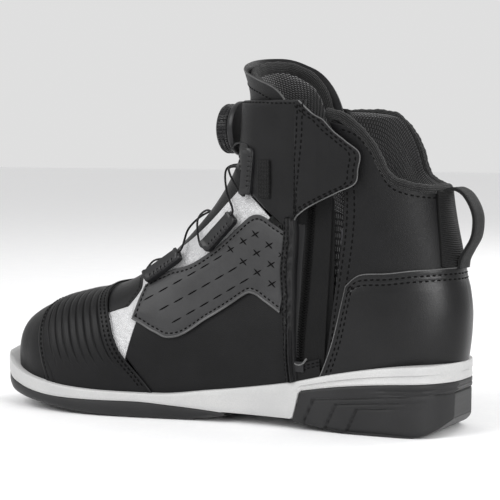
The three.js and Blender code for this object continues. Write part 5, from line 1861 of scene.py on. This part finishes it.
@dataclass
class Zip:
    """The coil zip on the inner side, with its tapes, facing, backing flap, slider and pull."""

    finishes: Finishes
    bottom: float = 41.0
    top: float = 162.0
    tape_front: Profile = field(default_factory=lambda: Profile((36, -50.5), (120, -48.5), (142, -44.5), (165, -43)))
    tape_rear: Profile = field(default_factory=lambda: Profile((36, -28.5), (80, -27), (125, -25), (165, -24)))
    tooth_pitch: float = 1.5
    slider_at: tuple[float, float, float] = (-35.2, -39.3, 150.0)

    def strip(self, name: str, front: Callable[[float], float], rear: Callable[[float], float], lift: Offset,
              thickness: float, low: float | None = None) -> Panel:
        """A strip along the zip between two lines that give x by height."""
        heights = np.linspace(low or self.bottom, self.top, 9)
        edges = [[LAST.place(float(line(z)), float(z)) for z in heights] for line in (front, rear)]
        return Panel(name, between(*edges), 120, 12, lift, thickness, bevel=0)

    def tapes(self) -> None:
        """The two woven tapes."""
        f = self.finishes
        for name, front, rear, node in (
                ("zip_tape_front_woven", self.tape_front, lambda z: zip_line(z) - 0.9, "zip_tape_front"),
                ("zip_tape_rear_woven", lambda z: zip_line(z) + 0.9, self.tape_rear, "zip_tape_rear")):
            deliver(self.strip(name, front, rear, -0.4, 0.8, 36.0).lay(), (f.tape, f.tape), "boot", "webbing", node)

    def coil(self) -> None:
        """The coil: two rows of interlocked loops, one row on each tape."""
        for name, shift, phase, node in (("zip_coil_front", -1.05, 0.0, "zip_teeth_front"),
                                         ("zip_coil_rear", 1.05, 0.5, "zip_teeth_rear")):
            heights = np.arange(self.bottom - 1 + phase * self.tooth_pitch, self.top, self.tooth_pitch)
            points = LAST.surface([LAST.place(zip_line(z) + shift, float(z)) for z in heights])
            heads = LAST.normal(points)
            up = unit(np.gradient(points, axis=0))
            across = unit(np.cross(up, heads))
            teeth = Stitching(name, width=0.95)
            teeth.places = [(p + n * 0.2, n, a, 2.7) for p, n, a in zip(points, heads, across)]
            deliver(teeth.sew(), (self.finishes.thread,), "boot", "moulded_plastic", node)

    def facing(self) -> None:
        """The gathered leather binding in front of the zip, drawn into two puckered cords."""
        f = self.finishes
        front = [(-54.0, 121), (-55.4, 95), (-54.2, 75), (-53.0, 55), (-52.4, 40), (-51.8, 28)]
        rear = [(-47.4, 121), (-47.0, 95), (-46.9, 75), (-46.9, 55), (-46.6, 40), (-45.6, 28)]

        def lift(u: Array, v: Array, base: Array) -> Array:
            """Two cords with a stitched valley between them, puckered at uneven spacing."""
            z = base[:, 2]
            pucker = 0.5 + 0.5 * np.sin(z * 0.62 + 1.7 * np.sin(z * 0.19)) ** 3
            strong = smooth_step(z, 40, 66)
            first, second = groove(v - 0.30, 0.13), groove(v - 0.66, 0.14)
            height = 2.9 + 1.7 * first + 2.1 * second - 0.5 * groove(v - 0.95, 0.08)
            return height - strong * (1.3 * first * pucker + 1.2 * second * (1 - pucker))
        panel = Panel("zip_facing_leather", between(side_edge(front), side_edge(rear)), 170, 26, lift, 2.6)
        deliver(panel.lay(), (f.soft_leather, f.cut_edge), "boot", "soft_leather", "zip_facing")
        rows = Stitching("zip_facing_stitching", 2.0, 0.9, 0.8)
        rows.along(*panel.row(Rim.FIRST, 0.9, 0.02, 0.98), 0.1).along(*panel.row(Rim.FIRST, 3.9, 0.05, 0.98), 0.1)
        rows.sew_on("boot", f.thread)

    def backing(self) -> None:
        """The backing flap behind the zip, the padded fold beside it and the bound edge at its foot."""
        f = self.finishes
        panel = self.strip("zip_backing_tape", lambda z: -50.0, lambda z: -24.0, -2.0, 0.8, 37.0)
        deliver(panel.lay(), (f.tape, f.tape), "boot", "webbing", "storm_flap")
        fold_front = side_edge([(-47.0, 118), (-47.2, 98), (-47.6, 78), (-48.0, 58), (-48.3, 41)])
        fold_rear = side_edge([(-41.5, 118), (-42.8, 98), (-43.6, 78), (-44.2, 58), (-43.6, 41)])
        pad = Pad("zip_fold_pad", between(fold_front, fold_rear), 70, 12, 0.5, -1.4, 2.4, 0.1)
        piece = pad.stuff()
        dress(piece, f.soft_leather)
        hand_over(piece, "boot", "soft_leather")
        foot = side_edge([(-48.0, 41.5), (-46.4, 38.6), (-43.6, 37.6), (-41.0, 38.6), (-38.6, 41.4)])
        points = LAST.surface(curve_through(foot, np.linspace(0, 1, 40)))
        heads = LAST.normal(points)
        deliver(Tube("zip_foot_binding", 0.6, 0.9, 8).sweep(points + heads * 1.4, heads), (f.cut_edge,),
                "boot", "leather")
        low = side_edge([(-49.5, 40.6), (-45, 36.6), (-38.5, 39.4), (-31, 41.5)])
        foot_edge = [LAST.feather_place(x) for x in (-49.8, -44, -38, -30.8)]
        panel = Panel("zip_foot_leather", between(foot_edge, low), 50, 24, 0.9, 1.4)
        deliver(panel.lay(), (f.leather, f.cut_edge), "boot", "leather")
        rows = Stitching("zip_foot_stitching", 2.0, 0.9, 0.8)
        rows.along(*panel.row(Rim.LAST, 1.6, 0.08, 0.95)).along(*panel.row(Rim.LAST, 3.6, 0.08, 0.95))
        rows.sew_on("boot", f.thread)

    def slider(self) -> None:
        """The die-cast slider body with its bridge, and the flat pull that hangs from it."""
        x, y, z = self.slider_at
        bpy.ops.object.select_all(action="DESELECT")
        bpy.ops.mesh.primitive_cube_add(size=1, location=(0, 0, 0))
        body = bpy.context.object
        body.name = body.data.name = "zip_slider_cast"
        wide, deep, tall = 8.0, 2.2, 9.0
        body.scale = (wide, deep, tall)
        settle(body)
        bpy.ops.object.mode_set(mode="EDIT")
        bpy.ops.mesh.select_all(action="SELECT")
        bpy.ops.mesh.subdivide(number_cuts=4)
        bpy.ops.object.mode_set(mode="OBJECT")
        p = read_points(body)
        share = p[:, 2] / tall + 0.5
        p[:, 0] *= 0.62 + 0.38 * smooth_step(share, 0.0, 0.55)
        front = p[:, 1] < -1.0
        ridge = groove(p[:, 0], 1.7) * groove(p[:, 2] - 0.3, 3.2)
        p[front, 1] -= 0.95 * ridge[front]
        write_points(body, (p + np.array([x, y, z])) * MM)
        apply_modifier(body, "BEVEL", width=0.35 * MM, segments=2, angle_limit=math.radians(50))
        smooth(body, 40)
        deliver(body, (self.finishes.steel,), "zip_slider", "steel", "zip_slider")

        bpy.ops.object.select_all(action="DESELECT")
        bpy.ops.mesh.primitive_circle_add(vertices=40, radius=1.0, fill_type="NOTHING")
        pull = bpy.context.object
        pull.name = pull.data.name = "zip_pull_cast"
        p = read_points(pull)
        tall, wide, thick, bridge = 13.0, 4.1, 0.9, 4.5
        outline = np.sign(p) * np.abs(p) ** 0.62
        p = np.stack([outline[:, 0] * wide / 2 * (0.86 - 0.14 * outline[:, 1]), 0 * p[:, 0],
                      outline[:, 1] * tall / 2], 1)
        write_points(pull, p)
        bpy.ops.object.mode_set(mode="EDIT")
        bpy.ops.mesh.select_all(action="SELECT")
        bpy.ops.mesh.edge_face_add()
        bpy.ops.mesh.inset(thickness=0.75, depth=0)
        bpy.ops.mesh.inset(thickness=0.25, depth=-0.25)
        bpy.ops.object.mode_set(mode="OBJECT")
        p = read_points(pull)
        write_points(pull, (p + np.array([x - 0.1, y - 0.2 - thick / 2, z - bridge - 0.4 - tall / 2])) * MM)
        apply_modifier(pull, "SOLIDIFY", thickness=thick * MM, offset=-1.0)
        recalculate(pull)
        smooth(pull, 35)
        deliver(pull, (self.finishes.steel,), "zip_pull", "steel", "zip_pull")

    def build(self) -> None:
        """Makes the zip's pieces and hands them over."""
        self.tapes()
        self.coil()
        self.facing()
        self.backing()
        self.slider()


@dataclass
class ClosureFlap:
    """The stitched flap that folds back over the top of the zip, with its hook patch and tail."""

    finishes: Finishes
    stand: Profile = field(default_factory=lambda: Profile(
        (-46.5, 2.9), (-41.5, 7), (-31, 7), (-22, 5), (-6, 4.6)))
    hinge: tuple = ((-40.6, 188.2), (-41.2, 181), (-42.0, 174), (-42.9, 166), (-43.8, 158), (-44.7, 150),
                    (-45.4, 143), (-46.0, 137), (-46.4, 131), (-46.8, 126), (-47.2, 121))
    rear: tuple = ((-38.4, 188.4), (-30.2, 181.0), (-21.6, 173.2), (-13.4, 165.6), (-6.4, 158.9), (-7.4, 150.0),
                   (-9.3, 141.8), (-19.3, 136.6), (-29.3, 131.4), (-38.0, 126.4), (-45.2, 120.4))

    def patch(self, name: str, lift: Offset, thickness: float) -> Panel:
        """A rectangular patch of tape on the flap or under it."""
        rows = [[LAST.place(x, z) for x in (-22, -16, -10.5)] for z in (143, 160)]
        return Panel(name, between(*rows), 24, 30, lift, thickness, bevel=0)

    def build(self) -> None:
        """Makes the flap's pieces and hands them over."""
        f = self.finishes
        panel = Panel("closure_flap_leather", between(side_edge(self.hinge), side_edge(self.rear)), 130, 60,
                      lambda u, v, p: self.stand(p[:, 0]) + 1.3, 1.3, bevel=0.3)
        deliver(panel.lay(), (f.soft_leather, f.cut_edge), "closure_flap", "soft_leather", "closure_flap")
        raw_edge(panel, Rim.LAST, f.cut_edge, "closure_flap")
        rows = Stitching("closure_flap_stitching", 2.3, 1.1, 0.95)
        for inset in (2.6, 5.8):
            rows.along(*panel.row(Rim.LAST, inset, 0.03, 0.96))
        for inset in (1.6, 5.0):
            rows.along(*panel.row(Rim.FIRST, inset, 0.02, 0.97))
        rows.sew_on("closure_flap", f.thread)
        for name, lift, thick, body, node in (
                ("hook_patch_tape", lambda u, v, p: self.stand(p[:, 0]) - 0.1, 1.3, "closure_flap", "hook_patch"),
                ("loop_patch_tape", 1.5, 1.1, "boot", "loop_patch")):
            deliver(self.patch(name, lift, thick).lay(), (f.hooks, f.hooks), body, "webbing", node)


# ------------------------------------------------------------------ dial, guides and lace
@dataclass
class Dial:
    """The winding dial on the tongue. Profiles are radius and distance in front of its back plate."""

    finishes: Finishes
    back: float = -98.6
    height: float = 172.0
    radius: float = 15.0
    knurls: int = 60
    teeth: int = 24

    def turned(self, name: str, outline: Sequence[Place], steps: int,
               cut: Callable[[Array, Array, Array], Array] | None = None) -> bpy.types.Object:
        """Turns a profile round the dial's axis.

        Args:
            name: the piece's name.
            outline: a closed profile.
            steps: segments round it.
            cut: a change of radius by radius, distance and angle.

        Returns:
            The piece.
        """
        ring = np.array([(r, 0, d) for r, d in outline], float)
        mesh = bpy.data.meshes.new(name)
        edges = [(i, (i + 1) % len(ring)) for i in range(len(ring))]
        mesh.from_pydata((ring * MM).tolist(), edges, [])
        obj = bpy.data.objects.new(name, mesh)
        bpy.context.scene.collection.objects.link(obj)
        apply_modifier(obj, "SCREW", angle=math.tau, steps=steps, render_steps=steps, axis="Z",
                       use_merge_vertices=True, merge_threshold=1e-6)
        recalculate(obj, 2e-6)
        p = read_points(obj) / MM
        radius, angle = np.hypot(p[:, 0], p[:, 1]), np.arctan2(p[:, 1], p[:, 0])
        if cut:
            wanted = radius + cut(radius, p[:, 2], angle)
            p[:, :2] *= (wanted / np.maximum(radius, 1e-6))[:, None]
        write_points(obj, np.stack([self.back - p[:, 2], p[:, 1], self.height + p[:, 0]], 1) * MM)
        recalculate(obj, 1e-7)
        smooth(obj, 35)
        return obj

    def build(self) -> None:
        """Makes the dial's pieces and hands them over."""
        f, rim = self.finishes, self.radius

        def knurl(radius: Array, distance: Array, angle: Array) -> Array:
            """Fine ridges round the grip, cut across twice."""
            ridge = 0.5 + 0.5 * np.sign(np.cos(angle * self.knurls))
            rows = 1 - groove(distance - 7.2, 0.35) - groove(distance - 9.8, 0.35)
            return -0.75 * (radius > rim - 0.35) * (1 - ridge * np.clip(rows, 0, 1))
        grip = [(rim, d) for d in (10.9, 10.15, 9.8, 9.45, 8.5, 7.55, 7.2, 6.85, 6.0)]
        knob = [(3.4, 9.2), (3.4, 11.2), (11.6, 11.2), (11.6, 12.4), (12.4, 12.7), (rim - 1.4, 12.4),
                (rim - 0.5, 11.8), *grip, (rim - 0.4, 5.2), (rim - 1.0, 4.8), (12.4, 4.8), (12.4, 9.2)]
        base = [(0.01, 0), (16.2, 0), (16.4, 0.5), (16.4, 3.0), (15.9, 3.8), (15.2, 4.4), (12.6, 4.4), (12.6, 1.4),
                (0.01, 1.4)]
        spool = [(0.01, 1.8), (11.6, 1.8), (11.8, 2.0), (11.8, 2.6), (8.5, 2.9), (8.5, 3.6), (11.8, 3.9),
                 (11.8, 4.4), (11.6, 4.6), (3, 4.6), (3, 10.2), (2.8, 10.4), (0.01, 10.4)]
        cap = [(0.01, 11.6), (11.2, 11.6), (11.2, 12.4), (10.9, 12.7), (9.6, 12.9), (9.2, 12.6), (8.8, 12.9),
               (5.0, 13.5), (0.01, 13.7)]
        ratchet = [(9.6, 5.0), (11.6, 5.0), (11.6, 7.2), (9.6, 7.2)]

        def ratchet_teeth(radius: Array, distance: Array, angle: Array) -> Array:
            """Saw teeth inside the ratchet ring."""
            return -0.5 * (radius < 10.5) * ((angle * self.teeth / math.tau) % 1.0)
        for name, outline, steps, cut, material, body, slot, node in (
                ("dial_base_moulded", base, 72, None, f.plastic, "tongue", "moulded_plastic", "dial_base"),
                ("dial_spool_moulded", spool, 72, None, f.plastic, "dial_spool", "moulded_plastic", "dial_spool"),
                ("dial_ratchet_ring", ratchet, 144, ratchet_teeth, f.steel, "tongue", "steel", "dial_ratchet"),
                ("dial_knob_moulded", knob, 240, knurl, f.plastic, "dial_knob", "moulded_plastic", "dial_knob"),
                ("dial_cap_moulded", cap, 96, None, f.plastic, "dial_knob", "moulded_plastic", "dial_cap")):
            deliver(self.turned(name, outline, steps, cut), (material,), body, slot, node)


@dataclass
class Guide:
    """One lace guide: a moulded channel that opens to the throat, with comb slots in its roof."""

    name: str
    x: float
    z: float
    run: tuple[float, float]
    lift: float
    length: float = 27.0
    base: float = 4.6
    wall: float = 1.2
    depth: float = 9.0
    height: float = 4.4
    slots: int = 7
    first_bay: int = 3
    slot_depth: float = 0.8

    def frame(self, side: Side) -> tuple[Array, Array]:
        """The guide's place on the last.

        Args:
            side: the side that it is sewn to.

        Returns:
            Its centre, and its three directions along, across and out as rows.
        """
        start = np.array([[self.x, 0.0, self.z]])
        seat = LAST.cast(start, np.array([[0.0, -side.value, 0.0]]), 90.0)
        normal = LAST.normal(seat)[0]
        ends = LAST.surface([LAST.place(self.x + self.run[0] * t, self.z + self.run[1] * t, side)
                             for t in (-0.5, 0.5)])
        along = unit(ends[1] - ends[0])
        across = unit(np.cross(along, normal))
        across = -across if across[1] * side.value < 0 else across
        out = unit(np.cross(across, along))
        out = -out if out @ normal < 0 else out
        centre = ends.mean(axis=0)
        return centre + out * max(float((seat[0] - centre) @ out), 0.0), np.stack([along, across, out])

    def point(self, side: Side, a: float, b: float, c: float) -> Array:
        """A point in the guide's own directions."""
        centre, axes = self.frame(side)
        return centre + np.array([a, b, c]) @ axes

    def mould(self, side: Side) -> bpy.types.Object:
        """Shapes the guide.

        Args:
            side: the side that it is sewn to.

        Returns:
            The piece.
        """
        back, mouth = -self.base, self.depth - self.base
        section = [(back, 0.0), (mouth, 0.0), (mouth, self.wall), (back + self.wall, self.wall),
                   (back + self.wall, self.height - self.wall), (mouth - 1, self.height - self.wall),
                   (mouth - 1, self.height), (-0.6, self.height), (-1.4, self.height),
                   (back + 0.9, self.height), (back, self.height - 0.9)]
        stations = np.linspace(-0.5, 0.5, 2 * self.slots + 6)
        rings = []
        for t in stations:
            shy = 0.9 * smooth_step(np.array(abs(t)), 0.42, 0.5)
            step = 0.9 * float(abs(t) > 0.40)
            rings.append([(t * self.length, b * (1 - 0.06 * shy) + (shy if b < -0.5 else 0),
                           c + (step if c > 3 and b > -2 else 0) - 0.5 * shy * (c > 3)) for b, c in section])
        count = len(section)
        faces = [(i * count + j, (i + 1) * count + j, (i + 1) * count + (j + 1) % count, i * count + (j + 1) % count)
                 for i in range(len(stations) - 1) for j in range(count)]
        faces += [tuple(range(count)), tuple(range((len(stations) - 1) * count, len(stations) * count))[::-1]]
        obj = mesh_object(f"lace_guide_{self.name}_{side.word}_moulded", np.array(rings).reshape(-1, 3), faces)
        recalculate(obj, 1e-7)
        select_only(obj)
        bpy.ops.object.mode_set(mode="EDIT")
        bpy.ops.mesh.select_mode(type="FACE")
        bpy.ops.mesh.select_all(action="DESELECT")
        bpy.ops.object.mode_set(mode="OBJECT")
        for polygon in obj.data.polygons:
            a, b, c = (value / MM for value in polygon.center)
            bay = (a / self.length + 0.5) * (len(stations) - 1)
            slot = int(bay) - self.first_bay
            comb = 0 <= slot < 2 * self.slots and slot % 2 == 0
            roof = polygon.normal.z > 0.8 and c > self.height - 0.7 and -4.6 < b < -1.2
            polygon.select = bool(comb and (roof or (polygon.normal.z > 0.3 and b < -3.4)))
        bpy.ops.object.mode_set(mode="EDIT")
        bpy.ops.mesh.inset(thickness=0.22 * MM, depth=-0.05 * MM, use_individual=False)
        bpy.ops.mesh.extrude_region_shrink_fatten(TRANSFORM_OT_shrink_fatten={"value": -self.slot_depth * MM})
        bpy.ops.mesh.select_mode(type="VERT")
        bpy.ops.object.mode_set(mode="OBJECT")
        centre, axes = self.frame(side)
        local = read_points(obj) / MM + np.array([0, 0, self.lift])
        write_points(obj, (centre + local @ axes) * MM)
        recalculate(obj, 1e-7)
        apply_modifier(obj, "BEVEL", width=0.22 * MM, segments=2, limit_method="ANGLE",
                       angle_limit=math.radians(40), use_clamp_overlap=True)
        smooth(obj, 35)
        return obj


@dataclass
class Lacing:
    """The six guides, the ribbed tapes beside the top pair, and the one lace that the dial winds."""

    finishes: Finishes
    dial: Dial
    radius: float = 0.65
    mouth_at: float = 0.53
    bend_at: float = 0.2
    guides: tuple[Guide, ...] = (Guide("upper", -78, 147, (2, 27), 1.8), Guide("middle", -97.5, 111, (19, 19), 2.3),
                                 Guide("lower", -136, 88.5, (22, 15), 2.3))

    def route(self) -> list[Array]:
        """The lace's way: down one side through the guides, across, and back up the other."""
        upper, middle, lower = self.guides
        down = (self.mouth_at, self.bend_at, -self.bend_at, -self.mouth_at)
        up = down[::-1]

        def through(guide: Guide, side: Side, ends: Sequence[float]) -> list[Array]:
            """Points inside a guide's channel."""
            return [guide.point(side, t * guide.length, guide.depth - guide.base - 3.2, guide.lift + guide.height / 2)
                    for t in ends]

        def over(s: float, turn: float, lift: float) -> Array:
            """A point above the last."""
            p = LAST.surface([(s, turn)])
            return (p + LAST.normal(p) * lift)[0]

        def leave(side: Side) -> Array:
            """Where the lace enters the dial's base."""
            return np.array([self.dial.back - 2.6, -12.4 * side.value, self.dial.height - 12.4])
        inner, outer = Side.MEDIAL, Side.LATERAL
        return [leave(inner), over(2.77, 17, 3.0), *through(upper, inner, down), over(2.50, 14, 1.6),
                over(2.46, -8, 0.9), over(2.42, -24, 1.8), *through(middle, outer, down), over(2.12, -24, 1.8),
                over(2.08, 0, 0.8), over(2.04, 22, 1.8), *through(lower, inner, down), over(1.72, 26, 2.2),
                over(1.705, 0, 1.8), over(1.72, -26, 2.2), *through(lower, outer, up), over(2.04, -22, 2.2),
                over(2.08, 0, 2.3), over(2.12, 24, 2.2), *through(middle, inner, up), over(2.42, 24, 2.2),
                over(2.46, 8, 2.4), over(2.50, -14, 2.2), *through(upper, outer, up), over(2.77, -17, 3.0),
                leave(outer)]

    def tab(self, side: Side) -> None:
        """The ribbed tape that holds the top guide to the ankle panel."""
        edges = [[LAST.place(x, z, side) for z in (132, 138, 143, 148, 154)] for x in (-70.5, -62.5)]

        def lift(u: Array, v: Array, base: Array) -> Array:
            """Ribbed across, and pressed down along its rear edge."""
            return 4.3 + 0.25 * np.sin(base[:, 2] * 2.6) - 0.5 * smooth_step(v, 0.8, 1.0)
        piece = Panel(f"guide_tab_tape_{side.word}", between(*edges), 90, 20, lift, 2.0).lay()
        webbing = self.finishes.webbing
        deliver(piece, (webbing, webbing), "boot", "webbing", f"guide_tab_{side.word}")

    def build(self) -> None:
        """Makes the guides, their tapes and the lace; hands the guides and tapes over and bakes the lace in place."""
        for side in Side:
            for guide in self.guides:
                deliver(guide.mould(side), (self.finishes.plastic,),
                        "boot", "moulded_plastic", f"lace_guide_{guide.name}_{side.word}")
            self.tab(side)
        line = taut_line(self.route(), 0.8)
        heads = np.tile([[-0.7, 0.0, 0.7]], (len(line), 1))
        lace = Tube("lace_braided", self.radius, 1.0, 8).sweep(line, heads)
        dress(lace, self.finishes.lace)
        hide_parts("lace")
        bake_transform(lace)
        LOG.info("lace: %.0f mm", steps_of(line).sum())


def dress_frame(finishes: Finishes) -> None:
    """Gives the frame's own visible parts their materials."""
    kept = {"shank": finishes.steel, "insole_board": finishes.board, "toe_puff": finishes.board,
            "heel_stiffener": finishes.board, "zip_lower_stop": finishes.plastic, "zip_upper_stop": finishes.plastic}
    for name, material in kept.items():
        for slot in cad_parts[name].material_slots:
            slot.material = material


# ------------------------------------------------------------------ studio
@dataclass
class Studio:
    """A pale floor, soft light and the camera."""

    azimuth: float = 28.0
    elevation: float = 4.0
    distance: float = 1.0
    target: tuple[float, float, float] = (-0.0953, 0.0, 0.0991)
    lens: float = 119.52

    def build(self) -> None:
        """Makes the floor, the lights and the camera."""
        self.floor()
        world = bpy.data.worlds.new("pale_room")
        world.use_nodes = True
        world.node_tree.nodes["Background"].inputs[0].default_value = linear("#ffffff")
        world.node_tree.nodes["Background"].inputs[1].default_value = 0.74
        bpy.context.scene.world = world
        bpy.context.scene.view_settings.view_transform = "Standard"
        self.light("key", (-0.75, -1.15, 1.05), 1.0, 17.0)
        self.light("fill", (1.2, -0.75, 0.7), 1.1, 2.5)
        self.light("back", (0.5, 1.2, 0.9), 0.9, 10.0)
        self.light("heel_strip", (0.62, -0.5, 0.28), 0.22, 3.0)
        self.camera()

    def floor(self) -> None:
        """A wide, flat, pale floor."""
        bpy.ops.object.select_all(action="DESELECT")
        bpy.ops.mesh.primitive_plane_add(size=12, location=(0, 0, -0.0004))
        floor = bpy.context.object
        floor.name = "studio_floor"
        settle(floor)
        material = Speckled("painted_floor", "#f4f4f5", "#f8f8f8", 3.0, 0.00001, 0.85).make()
        dress(floor, material)

    def light(self, name: str, place: tuple[float, float, float], size: float, power: float) -> None:
        """Hangs one soft light that faces the boot.

        Args:
            name: its name.
            place: where it hangs.
            size: its width.
            power: its power in watts.
        """
        lamp = bpy.data.lights.new(name, "AREA")
        lamp.shape, lamp.size, lamp.energy = "SQUARE", size, power
        obj = bpy.data.objects.new(name, lamp)
        obj.location = place
        obj.rotation_euler = (Vector(self.target) - Vector(place)).to_track_quat("-Z", "Y").to_euler()
        bpy.context.scene.collection.objects.link(obj)

    def camera(self) -> None:
        """Sets the camera at its viewing angle."""
        a, e = math.radians(self.azimuth), math.radians(self.elevation)
        back = Vector((math.sin(a) * math.cos(e), -math.cos(a) * math.cos(e), math.sin(e)))
        data = bpy.data.cameras.new("camera")
        data.lens, data.sensor_width = self.lens, 36.0
        data.clip_start, data.clip_end = 0.05, 30.0
        camera = bpy.data.objects.new("camera", data)
        camera.location = Vector(self.target) + back * self.distance
        camera.rotation_euler = (-back).to_track_quat("-Z", "Y").to_euler()
        bpy.context.scene.collection.objects.link(camera)
        bpy.context.scene.camera = camera


def main() -> None:
    """Builds every sub-assembly in order."""
    logging.basicConfig(level=logging.INFO, format="%(name)s %(message)s")
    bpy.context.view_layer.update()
    bpy.ops.object.select_all(action="DESELECT")
    Studio().build()
    finishes = Finishes()
    Sole(finishes).build()
    Toe(finishes).build()
    for side in Side:
        BootSide(finishes, side).build()
    BackOfBoot(finishes).build()
    Tongue(finishes).build()
    Zip(finishes).build()
    ClosureFlap(finishes).build()
    dial = Dial(finishes)
    dial.build()
    Lacing(finishes, dial).build()
    dress_frame(finishes)


if __name__ == "__main__":
    main()
